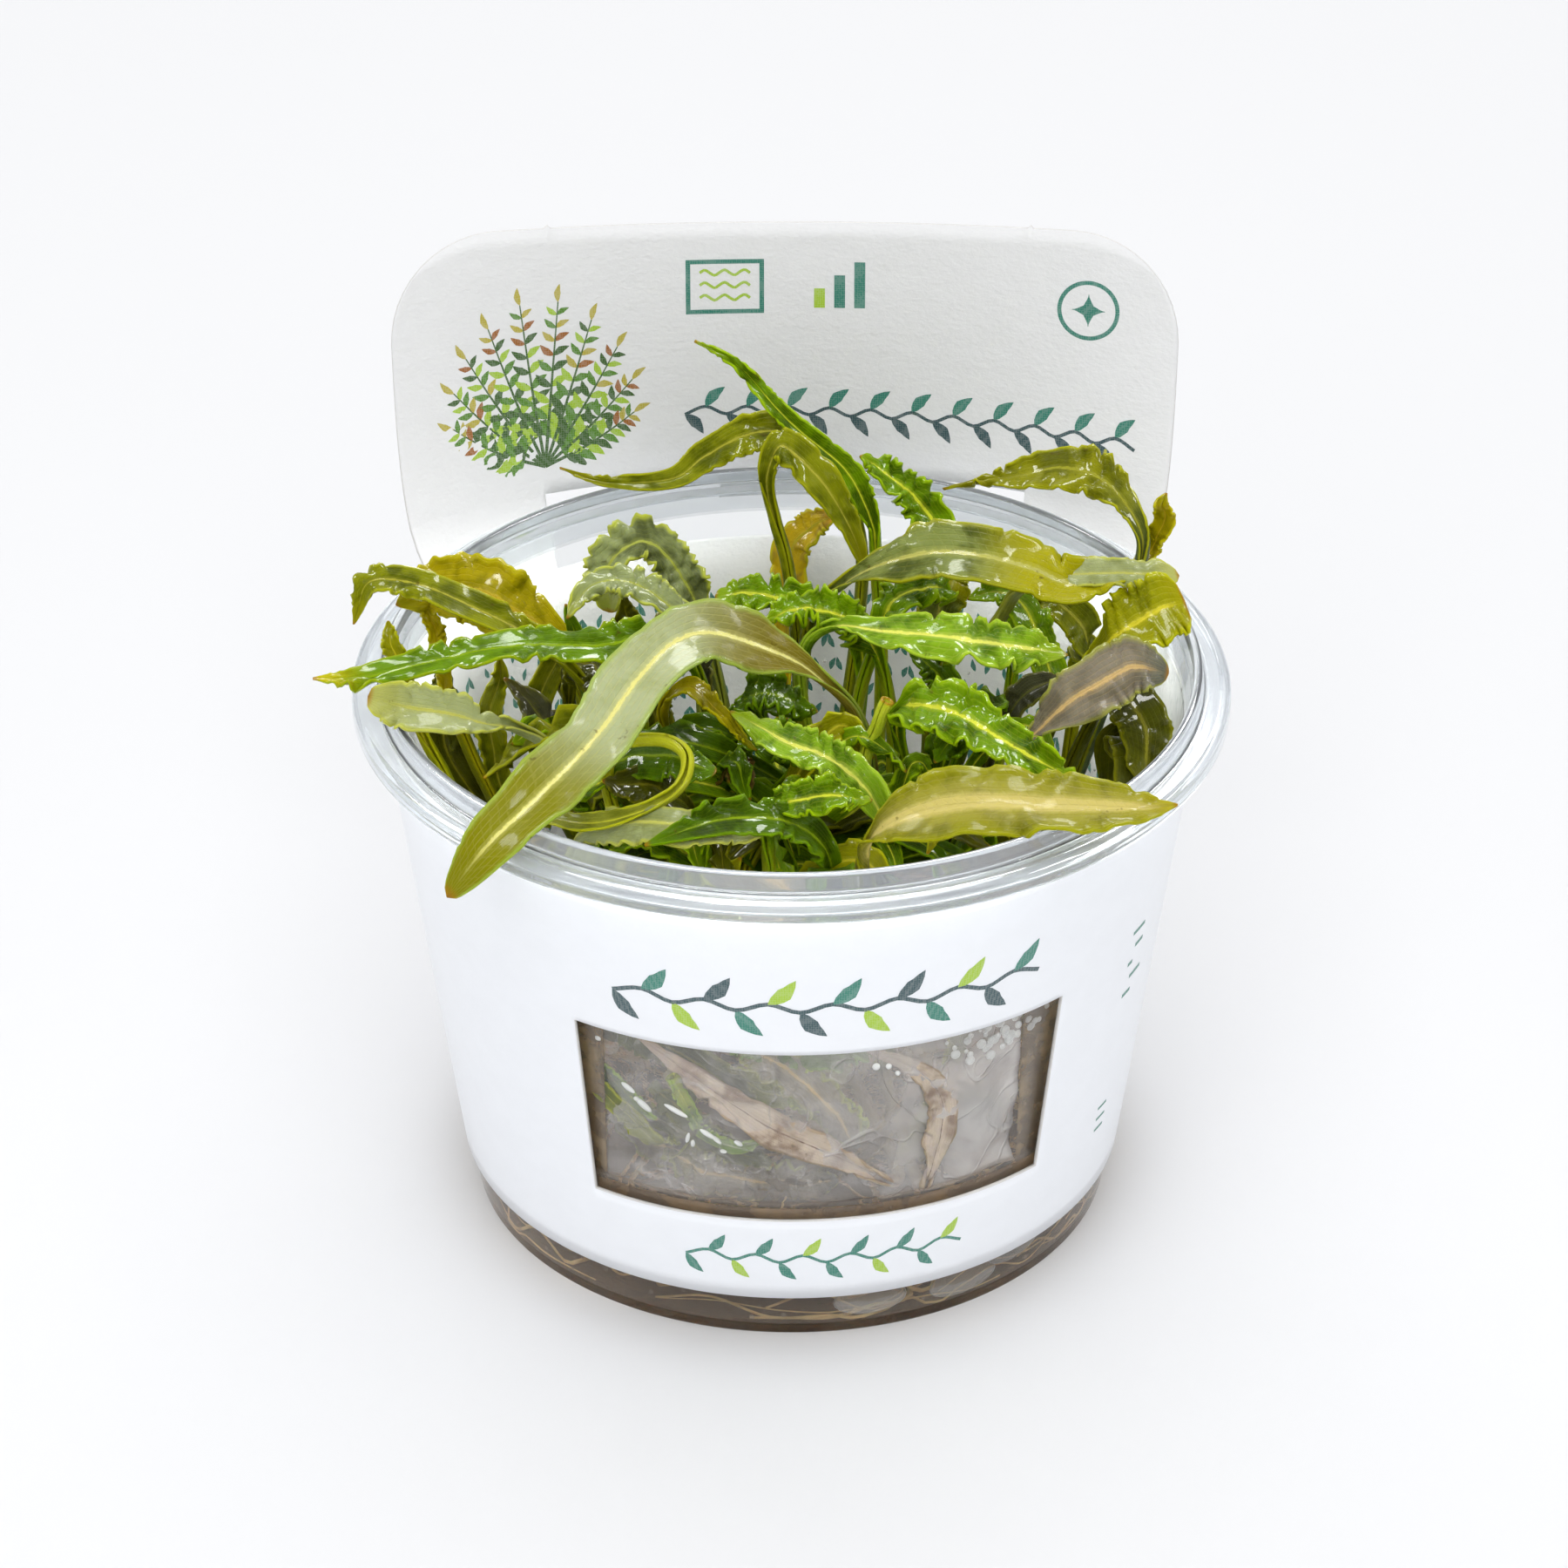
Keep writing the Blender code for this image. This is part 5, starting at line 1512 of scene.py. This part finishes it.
class PLANTCUP_OT_stage(bpy.types.Operator):
    """Add the camera, floor and soft studio lights"""

    bl_idname = "plantcup.stage"
    bl_label = "Stage"

    def execute(self, context):
        settings = context.scene.plantcup_stage
        scene = context.scene
        scene.view_settings.view_transform = "Standard"
        camera = bpy.data.objects.new("camera", bpy.data.cameras.new("camera"))
        camera.data.lens = settings.lens
        camera.data.clip_start = 0.01
        camera.location = (settings.camera_x, settings.camera_y, settings.camera_z)
        aim = Vector((settings.camera_x, 0.0, settings.aim_z))
        camera.rotation_euler = (aim - camera.location).to_track_quat("-Z", "Y").to_euler()
        scene.collection.objects.link(camera)
        scene.camera = camera

        bm = bmesh.new()
        bmesh.ops.create_grid(bm, x_segments=2, y_segments=2, size=FLOOR_HALF)
        mesh = bpy.data.meshes.new("floor")
        bm.to_mesh(mesh)
        bm.free()
        mesh.materials.append(floor_material(tuple(settings.floor)))
        floor = bpy.data.objects.new("floor", mesh)
        floor.location.z = -FLOOR_DROP
        scene.collection.objects.link(floor)

        key = self.add_light(scene, "key", settings.key, KEY_SIZE, KEY_PLACE)
        key.visible_glossy = False
        fill = self.add_light(scene, "fill", settings.fill, FILL_SIZE, FILL_PLACE)
        fill.visible_glossy = False
        for name, place in GLOSS_PLACES.items():
            light = self.add_light(scene, name, settings.gloss, GLOSS_SIZE, place)
            light.visible_diffuse = False
        scene.world = self.soft_sky(settings)
        return {"FINISHED"}

    @staticmethod
    def soft_sky(settings):
        """Make the even light all round, weaker where it is reflected."""
        world = bpy.data.worlds.new("soft_sky")
        world.use_nodes = True
        tree = world.node_tree
        back = tree.nodes["Background"]
        back.inputs["Color"].default_value = opaque((0.97, 0.98, 1.0))
        path = tree.nodes.new("ShaderNodeLightPath").outputs
        reflected = math_node(
            tree, "SUBTRACT", path["Is Glossy Ray"], path["Is Transmission Ray"], clamp=True)
        dimmed = math_node(
            tree, "MULTIPLY_ADD", reflected, settings.gloss_sky - settings.sky, settings.sky)
        tree.links.new(dimmed, back.inputs["Strength"])
        return world

    @staticmethod
    def add_light(scene, name, power, size, place):
        """Add a square soft light that looks at the cup."""
        data = bpy.data.lights.new(name, "AREA")
        data.energy = power
        data.size = size
        light = bpy.data.objects.new(name, data)
        light.location = place
        light.rotation_euler = (LIGHT_AIM - light.location).to_track_quat("-Z", "Y").to_euler()
        scene.collection.objects.link(light)
        return light


class PLANTCUP_OT_cup(bpy.types.Operator):
    """Turn the clear cup with its lip, flange and skirt"""

    bl_idname = "plantcup.cup"
    bl_label = "Clear Cup"

    def execute(self, context):
        settings = context.scene.plantcup_cup
        low = wall_radius(FLOOR) - WALL
        shoulder = wall_radius(SHOULDER)
        outline = eased([
            (0.0, FLOOR),
            (low, FLOOR),
            (wall_radius(GEL_TOP) - WALL, GEL_TOP),
            (shoulder - WALL, SHOULDER),
            (LIP_INNER - 0.3, FLANGE_TOP - 0.3),
            (LIP_INNER, LIP_TOP),
            (LIP_OUTER, LIP_TOP),
            (LIP_OUTER + 0.25, RIDGE_TOP - 0.3),
            (RIDGE_RADIUS - 0.6, RIDGE_TOP - 0.1),
            (RIDGE_RADIUS, RIDGE_TOP),
            (FLANGE_RADIUS, FLANGE_TOP),
            (FLANGE_RADIUS, FLANGE_BOTTOM),
            (FLANGE_RADIUS - FLANGE_SKIN, FLANGE_BOTTOM),
            (FLANGE_RADIUS - FLANGE_SKIN, FLANGE_TOP - FLANGE_SKIN),
            (LIP_OUTER - 0.2, FLANGE_TOP - FLANGE_SKIN - 0.1),
            (shoulder, SHOULDER),
            (BASE_RADIUS, 0.0),
            (0.0, 0.0),
        ], 0.45)
        bm = spun(outline, settings.steps)
        tint = tuple(settings.tint)
        wall = plastic_material("clear_wall", tint, settings.roughness, 1.0, PLASTIC_IOR)
        rim = plastic_material(
            "milky_rim", tuple(settings.rim_tint), 0.04, settings.rim_clearness, RIM_IOR, 0.0)
        wetted = plastic_material("wall_against_gel", tint, settings.roughness, 1.0, WETTED_IOR)
        for face in bm.faces:
            centre = face.calc_center_median() / MM
            inside = centre.xy.length < wall_radius(centre.z) - WALL * 0.6 and centre.z > FLOOR * 0.5
            if centre.z > SHOULDER + 0.8:
                face.material_index = 1
            elif inside and centre.z < GEL_TOP:
                face.material_index = 2
        piece = add_piece("clear_cup", bm, "clear_plastic", wall, rim, wetted)
        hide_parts("cup")
        return {"FINISHED"}


class PLANTCUP_OT_gel(bpy.types.Operator):
    """Turn the bed of culture gel"""

    bl_idname = "plantcup.gel"
    bl_label = "Culture Gel"

    def execute(self, context):
        settings = context.scene.plantcup_cup
        low = FLOOR + GEL_GAP
        inner = wall_radius(0.0) - WALL - GEL_GAP
        outline = eased([
            (0.0, GEL_TOP - 0.6),
            (24.0, GEL_TOP - 0.2),
            (inner + WALL_SLOPE * GEL_TOP - 1.2, GEL_TOP - 0.2),
            (inner + WALL_SLOPE * (GEL_TOP + 0.8), GEL_TOP + 0.8),
            (inner + WALL_SLOPE * low, low),
            (0.0, low),
        ], 0.8)
        bm = spun(outline, settings.steps // 2)
        jelly = gel_material(tuple(settings.gel), settings.gel_density)
        piece = add_piece("gel_bed", bm, "culture_gel", jelly)
        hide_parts("culture_gel")
        return {"FINISHED"}


class PLANTCUP_OT_roots(bpy.types.Operator):
    """Lay root strands through the gel"""

    bl_idname = "plantcup.roots"
    bl_label = "Roots"

    def execute(self, context):
        settings = context.scene.plantcup_cup
        rng = random.Random(context.scene.plantcup_plants.seed)
        bm = bmesh.new()
        for _ in range(settings.roots):
            self.add_strand(bm, rng)
        add_piece("root_strands", bm, "pale_crown", root_material())
        return {"FINISHED"}

    @staticmethod
    def add_strand(bm, rng):
        """Add one root: from a crown down to the wall or floor, then along it."""
        crown = rng.choice(list(CROWNS.values()))
        turn = rng.uniform(0.0, FULL_TURN)
        sweep = rng.uniform(0.25, 0.9) * rng.choice((-1.0, 1.0))
        level = rng.choice((rng.uniform(1.8, 6.5), rng.uniform(1.8, 17.0)))
        points = [
            Vector((crown[0], crown[1], CROWN_BASE)),
            Vector((crown[0] * 1.2, crown[1] * 1.2, mixed(CROWN_BASE, level, 0.5))),
        ]
        for step in range(5):
            angle = turn + sweep * step / 4.0
            height = max(level + rng.uniform(-1.6, 1.6), 1.6)
            radius = wall_radius(height) - WALL - rng.uniform(0.3, 1.2)
            points.append(Vector((math.cos(angle) * radius, math.sin(angle) * radius, height)))
        thick = rng.uniform(0.14, 0.42)
        fresh = bmesh.ops.create_grid(bm, x_segments=5, y_segments=30, size=0.5)["verts"]
        for vertex in fresh:
            t = vertex.co.y + 0.5
            here = curve_point(points, t)
            behind = curve_point(points, max(t - 0.02, 0.0))
            ahead = curve_point(points, min(t + 0.02, 1.0)) - behind
            side = ahead.cross(Vector((0.3, 0.2, 1.0))).normalized()
            up = side.cross(ahead).normalized()
            angle = FULL_TURN * (vertex.co.x + 0.5)
            radius = thick * (1.0 - 0.55 * t)
            here.z = max(here.z, FLOOR + GEL_GAP + thick + 0.1)
            limit = wall_radius(here.z) - WALL - GEL_GAP - thick - 0.35
            if here.xy.length > limit:
                here.xy = here.xy.normalized() * limit
            round_part = side * math.cos(angle) * radius + up * math.sin(angle) * radius
            vertex.co = (here + round_part) * MM
        bmesh.ops.remove_doubles(bm, verts=fresh, dist=0.000002)


class PLANTCUP_OT_bubbles(bpy.types.Operator):
    """Add the bubbles in the gel, and the foam, drops and wet film on the wall; bubbles and drops show
    by painted rims and glints, and the film's veil is partly painted reflection
    """

    bl_idname = "plantcup.bubbles"
    bl_label = "Bubbles and Droplets"

    def execute(self, context):
        rng = random.Random(context.scene.plantcup_plants.seed + 1)
        bm = bmesh.new()
        for turn, height, wide, tall in LENS_BUBBLES:
            self.add_drop(bm, turn, height, wide, tall, LENS_DEPTH)
        for _ in range(GEL_BUBBLES):
            size = rng.uniform(0.2, 0.6)
            self.add_drop(bm, rng.uniform(-150.0, -30.0), rng.uniform(1.6, 6.0), size, size, size)
        add_piece("gel_bubbles", bm, "clear_plastic", bubble_painted_rim_material("air_bubble", 0.22, 0.6))

        bm = bmesh.new()
        for _ in range(FOAM_BUBBLES):
            size = rng.uniform(0.4, 1.3)
            turn = rng.gauss(FOAM_TURN, 4.5)
            self.add_drop(bm, turn, rng.gauss(FOAM_HEIGHT, 1.4), size, size, size * 0.6)
        add_piece("wall_foam", bm, "clear_plastic", bubble_painted_rim_material("foam", 0.42, 0.55))

        bm = bmesh.new()
        # Painted highlights: near-white drops that stand for glints of light.
        for turn, height, wide, tall, tilt in GLINTS:
            self.add_drop(bm, turn, height, wide, tall, GLINT_DEPTH, tilt)
        add_piece("wall_glints", bm, "clear_plastic", bubble_painted_rim_material("painted_glint", 0.78, 0.2))

        bm = bmesh.new()
        for _ in range(BACK_DROPLETS):
            size = rng.uniform(0.2, 0.55)
            self.add_drop(bm, rng.uniform(25.0, 155.0), rng.uniform(30.0, 58.0), size, size, 0.3)
        add_piece("wall_droplets", bm, "clear_plastic", bubble_painted_rim_material("clear_water", 0.3, 0.7))
        self.add_film()
        return {"FINISHED"}

    @staticmethod
    def add_drop(bm, turn, height, wide, tall, deep, tilt=0.0):
        """Add a flattened drop on the inner wall at a turn in degrees from +X."""
        made = bmesh.ops.create_uvsphere(bm, u_segments=16, v_segments=10, radius=1.0)
        angle = math.radians(turn)
        radius = wall_radius(height) - WALL - deep * 0.5 - 0.12
        place = Vector((math.cos(angle) * radius, math.sin(angle) * radius, height))
        grow = Matrix.Diagonal((wide / 2.0, deep / 2.0, tall / 2.0, 1.0))
        spin = Matrix.Rotation(angle + math.pi / 2.0, 4, "Z")
        lean = Matrix.Rotation(math.radians(tilt), 4, "Y")
        placed = Matrix.Scale(MM, 4) @ Matrix.Translation(place) @ spin @ lean @ grow
        bmesh.ops.transform(bm, matrix=placed, verts=made["verts"])

    @staticmethod
    def add_film():
        """Add the folded wet film behind the window, partly painted reflection, and the brown smears
        past its edges, partly painted shade.
        """
        left = tuple(inset - WINDOW_LEFT_DEG for inset in FILM_LEFT_INSETS)
        right = tuple(WINDOW_RIGHT_DEG - inset for inset in FILM_RIGHT_INSETS)
        bm = bmesh.new()
        wall_sheet(bm, 70, 30, left, right, FILM_LOW, FILM_HIGH, film_gap)
        bmesh.ops.recalc_face_normals(bm, faces=bm.faces)
        add_piece("window_film_and_painted_reflection", bm, "clear_plastic", film_and_painted_reflection_material(), thickness=FILM_SKIN)

        # Smears along the window's edges: gel colour and painted shade.
        bm = bmesh.new()
        far_left = (-WINDOW_LEFT_DEG - SMEAR_AND_PAINTED_SHADE_OVERHANG,) * 2
        far_right = (WINDOW_RIGHT_DEG + SMEAR_AND_PAINTED_SHADE_OVERHANG,) * 2
        seam = FILM_LOW - 0.2
        wall_sheet(bm, 6, 14, far_left, left, seam, FILM_HIGH, smear_and_painted_shade_gap)
        wall_sheet(bm, 6, 14, right, far_right, seam, FILM_HIGH, smear_and_painted_shade_gap)
        wall_sheet(bm, 40, 2, far_left, far_right, FILM_LOW - 3.0, seam, smear_and_painted_shade_gap)
        bmesh.ops.recalc_face_normals(bm, faces=bm.faces)
        add_piece("gel_smears_and_painted_shade", bm, "culture_gel", smear_and_painted_shade_material(), thickness=FILM_SKIN)


class PLANTCUP_OT_sleeve(bpy.types.Operator):
    """Bend the die-cut card round the cup"""

    bl_idname = "plantcup.sleeve"
    bl_label = "Card Sleeve"

    def execute(self, context):
        settings = context.scene.plantcup_sleeve
        bm = card_blank(settings.columns, settings.rows)
        gone = [f for f in bm.faces if not is_card(*f.calc_center_median().xy)]
        bmesh.ops.delete(bm, geom=gone, context="FACES")
        for vertex in bm.verts:
            vertex.co = sleeve_point(*round_corner(*vertex.co.xy)) * MM
        bmesh.ops.remove_doubles(bm, verts=bm.verts, dist=0.00002)
        bmesh.ops.recalc_face_normals(bm, faces=bm.faces)
        inner, header = tuple(settings.inner_painted_glow_tint), tuple(settings.header_painted_shade_tint)
        outer = tuple(settings.tint)
        # Bare face: painted light below the slot, painted shade on the header.
        bare = card_material("bare_card", inner, header, 1300.0, 0.35, 0.8, 0.0)
        coated = card_material("coated_card", outer, outer, 1500.0, 0.1, 0.35, 0.25)
        piece = add_piece(
            "printed_card_sleeve", bm, "white_card", coated, cut_edge_material(), bare,
            thickness=CARD, offset=1.0)
        solid = piece.modifiers["Thickness"]
        solid.material_offset_rim = 1
        solid.material_offset = 2
        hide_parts("card_sleeve")
        return {"FINISHED"}


class PLANTCUP_OT_print(bpy.types.Operator):
    """Print plain leaf ornaments on the card"""

    bl_idname = "plantcup.print"
    bl_label = "Print"

    def execute(self, context):
        self.header_sprays()
        self.header_marks()
        self.front_band()
        self.inner_rows()
        return {"FINISHED"}

    @staticmethod
    def header_sprays():
        """A fan of leafy water stems on the left of the header."""
        bm = bmesh.new()
        foot = SPRAY_FOOT
        for number, lean in enumerate(SPRAY_LEANS):
            length = SPRAY_HEIGHT - 0.09 * abs(lean) ** 1.1
            heading = 90.0 - lean
            angle = math.radians(heading)
            tip = foot + Vector((math.cos(angle), math.sin(angle))) * length
            bow = Vector((lean * 0.03, -abs(lean) * 0.012))
            stem = [foot, foot.lerp(tip, 0.35) + bow * 0.4, foot.lerp(tip, 0.7) + bow * 0.3, tip]
            print_stroke(bm, stem, (0.4, 0.15), "moss", INSIDE)
            path = [Vector((p.x, p.y, 0.0)) for p in stem]
            for knot in range(2, SPRAY_KNOTS):
                t = knot / SPRAY_KNOTS
                here = curve_point(path, t)
                size = SPRAY_LEAFLET * (1.0 - 0.55 * t)
                choice = 5 if t > 0.6 else 3
                for sign in (-1.0, 1.0):
                    ink = SPRAY_INKS[(number + knot + (sign > 0)) % choice]
                    print_leaflet(
                        bm, here.xy, size, heading + sign * 55.0, size * 0.42, ink, INSIDE)
            print_leaflet(bm, tip, 2.2, heading, 0.8, "gold", INSIDE)
        print_piece("print_header_sprays", bm)

    @staticmethod
    def header_marks():
        """Small care marks, a ring and a running vine on the header."""
        bm = bmesh.new()
        left, right = TANK_SIDES
        low, high = TANK_ENDS
        for x in TANK_SIDES:
            print_stroke(bm, [(x, low), (x, high)], TANK_LINE, "teal", INSIDE, steps=4)
        for z in TANK_ENDS:
            ledge = [(left - 0.27, z), (right + 0.27, z)]
            print_stroke(bm, ledge, TANK_LINE, "teal", INSIDE, steps=8)
        for z in TANK_WAVES:
            wave = [(left + 1.4 + i * 0.6, z + 0.35 * math.sin(i * 1.6)) for i in range(11)]
            print_stroke(bm, wave, (0.35, 0.35), "lime", INSIDE, steps=24)
        for number, top in enumerate(BAR_TOPS):
            x = BAR_LEFT + number * BAR_PITCH
            ink = "teal" if number else "lime"
            print_stroke(bm, [(x, BAR_FOOT), (x, top)], BAR_LINE, ink, INSIDE, steps=4)
        print_ring(bm, RING_CENTRE, RING_RADIUS, 0.5, "teal", INSIDE, squash=0.98)
        s, z = RING_CENTRE
        print_stroke(bm, [(s - STAR_REACH, z), (s + STAR_REACH, z)], STAR_WIDTHS, "teal", INSIDE)
        print_stroke(bm, [(s, z - STAR_REACH), (s, z + STAR_REACH)], STAR_WIDTHS, "teal", INSIDE)
        vine(bm, *HEADER_VINE, 3.4, ("slate", "teal"), INSIDE, sway=1.0, count=22)
        print_piece("print_header_marks", bm)

    @staticmethod
    def front_s(degrees):
        """Flat place s for a turn from the front, positive towards +X."""
        return HALF_BLANK - math.radians(degrees) * BACK_RADIUS

    def front_band(self):
        """Ornaments above and below the window, and small dashes at the side."""
        bm = bmesh.new()
        self.wrapped_vine(bm, *UPPER_VINE, 4.6, ("slate", "teal", "lime"), 14)
        self.wrapped_vine(bm, *LOWER_VINE, 3.4, ("teal", "teal", "lime"), 12)
        for row in range(UPPER_DASHES):
            start = self.front_s(UPPER_DASH_TURN + (row % 2) * 1.5)
            z = UPPER_DASH_TOP - row * UPPER_DASH_PITCH
            dash = [(start, z), (start - 3.2 + (row % 3), z)]
            print_stroke(bm, dash, (0.5, 0.5), "teal", OUTSIDE, steps=4)
        start = self.front_s(LOWER_DASH_TURN)
        for row in range(LOWER_DASHES):
            z = LOWER_DASH_TOP - row * LOWER_DASH_PITCH
            dash = [(start, z), (start - LOWER_DASH_LENGTH, z)]
            print_stroke(bm, dash, (0.35, 0.35), "teal", OUTSIDE, steps=4)
        print_piece("print_front_band", bm)

    def wrapped_vine(self, bm, start, end, leaf, inks, count):
        """A vine between two (degrees, height) places; the blank's ends meet at the front."""
        flat = [(self.front_s(degrees), height) for degrees, height in (start, end)]
        vine(bm, *flat, leaf, inks, OUTSIDE, sway=1.1, count=count)

    @staticmethod
    def inner_rows():
        """Rows of small leaf marks on the sleeve's inner face, seen through the cup."""
        rng = random.Random(LEAF_ROW_SEED)
        bm = bmesh.new()
        first, last = LEAF_ROW_ENDS
        for row in range(LEAF_ROWS):
            z = LEAF_ROW_TOP - row * LEAF_ROW_PITCH
            s = first
            while s < last:
                for mark in range(rng.randint(2, 7)):
                    lean = 68.0 if mark % 2 else 112.0
                    print_leaflet(bm, (s, z - 0.9), rng.uniform(1.5, 2.0), lean, 0.75, "teal", INSIDE)
                    s += LEAF_MARK_PITCH
                s += rng.uniform(1.2, 2.4)
        print_piece("print_inner_rows", bm)


class PLANTCUP_OT_crowns(bpy.types.Operator):
    """Add the plantlets' short stems"""

    bl_idname = "plantcup.crowns"
    bl_label = "Crowns"

    def execute(self, context):
        tissue = crown_material()
        outline = eased([
            (0.0, CROWN_BASE), (2.3, CROWN_BASE), (2.1, CROWN_BASE + 1.2),
            (1.9, CROWN_BASE + 1.4), (1.8, CROWN_BASE + 2.6), (1.55, CROWN_BASE + 2.8),
            (1.3, CROWN_BASE + 4.0), (0.0, CROWN_BASE + 4.1),
        ], 0.3)
        for number, (name, place) in enumerate(CROWNS.items()):
            bm = spun(outline[::-1], 24)
            for vertex in bm.verts:
                turn = math.atan2(vertex.co.y, vertex.co.x)
                ridge = 1.0 + 0.12 * math.sin(turn * 5.0 + number)
                vertex.co.xy *= ridge
            bmesh.ops.translate(bm, vec=(place[0] * MM, place[1] * MM, 0.0), verts=bm.verts)
            piece = add_piece("plantlet_" + name, bm, "pale_crown", tissue)
            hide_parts(name)
        return {"FINISHED"}


class PLANTCUP_OT_leaves(bpy.types.Operator):
    """Add the strap leaves, each in place of its solid one"""

    bl_idname = "plantcup.leaves"
    bl_label = "Leaves"

    def execute(self, context):
        settings = context.scene.plantcup_plants
        for number, (node, strap) in enumerate(LEAVES.items()):
            seed = number * SEED_STEP
            piece = add_leaf("strap_" + node, strap, settings.leaf_rows, settings, seed)
            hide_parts(node)
        return {"FINISHED"}


class PLANTCUP_OT_small_leaves(bpy.types.Operator):
    """Add the smaller leaves and stalks between the named ones"""

    bl_idname = "plantcup.small_leaves"
    bl_label = "Small Leaves"

    def execute(self, context):
        settings = context.scene.plantcup_plants
        for number, (name, strap) in enumerate(SMALL_LEAVES.items()):
            seed = SMALL_SEED + number * SEED_STEP
            add_leaf("small_" + name, strap, settings.small_rows, settings, seed)
        for number, (name, strap) in enumerate(WINDOW_LEAVES.items()):
            laid = laid_on_wall(strap, WINDOW_LEAF_GAP + WINDOW_LEAF_STEP * number)
            seed = WINDOW_SEED + number * SEED_STEP
            add_leaf(name, laid, settings.small_rows, settings, seed)
        return {"FINISHED"}


class PLANTCUP_OT_fillers(bpy.types.Operator):
    """Add the small leaves that fill the cup"""

    bl_idname = "plantcup.fillers"
    bl_label = "Filler Leaves"

    def execute(self, context):
        settings = context.scene.plantcup_plants
        rng = random.Random(settings.seed + 2)
        groups = {}
        for number in range(settings.fillers):
            strap = filler_strap(rng)
            seed = number * FILLER_SEED_STEP
            bm = strap_mesh(strap, settings.filler_rows, FILLER_COLUMNS, seed)
            contained(bm, FILLER_MARGIN)
            if strap.finish not in groups:
                groups[strap.finish] = bmesh.new()
            join_bmesh(groups[strap.finish], bm)
        for finish, bm in groups.items():
            add_piece(
                "fillers_" + finish, bm, FINISHES[finish].slot, leaf_material(finish),
                thickness=settings.blade / MM)
        return {"FINISHED"}


OPERATORS = (
    PLANTCUP_OT_stage,
    PLANTCUP_OT_cup,
    PLANTCUP_OT_gel,
    PLANTCUP_OT_roots,
    PLANTCUP_OT_bubbles,
    PLANTCUP_OT_sleeve,
    PLANTCUP_OT_print,
    PLANTCUP_OT_crowns,
    PLANTCUP_OT_leaves,
    PLANTCUP_OT_small_leaves,
    PLANTCUP_OT_fillers,
)


class PLANTCUP_PT_panel(bpy.types.Panel):
    """Lists the pieces and their settings"""

    bl_idname = "PLANTCUP_PT_panel"
    bl_label = "Plant Cup"
    bl_space_type = "VIEW_3D"
    bl_region_type = "UI"
    bl_category = "Plant Cup"

    def draw(self, context):
        layout = self.layout
        for operator in OPERATORS:
            layout.operator(operator.bl_idname)
        for name in SETTINGS:
            box = layout.box()
            group = getattr(context.scene, name)
            for key in group.__annotations__:
                box.prop(group, key)


SETTINGS = {
    "plantcup_stage": PLANTCUP_PG_stage,
    "plantcup_cup": PLANTCUP_PG_cup,
    "plantcup_sleeve": PLANTCUP_PG_sleeve,
    "plantcup_plants": PLANTCUP_PG_plants,
}


def register():
    """Register the settings, operators and panel."""
    for name, group in SETTINGS.items():
        bpy.utils.register_class(group)
        setattr(bpy.types.Scene, name, bpy.props.PointerProperty(type=group))
    for operator in OPERATORS:
        bpy.utils.register_class(operator)
    bpy.utils.register_class(PLANTCUP_PT_panel)


def unregister():
    """Undo register."""
    bpy.utils.unregister_class(PLANTCUP_PT_panel)
    for operator in reversed(OPERATORS):
        bpy.utils.unregister_class(operator)
    for name, group in SETTINGS.items():
        delattr(bpy.types.Scene, name)
        bpy.utils.unregister_class(group)


def main():
    """Build every piece."""
    register()
    for operator in OPERATORS:
        group, name = operator.bl_idname.split(".")
        getattr(getattr(bpy.ops, group), name)()
    bpy.context.view_layer.update()


if __name__ == "__main__":
    main()
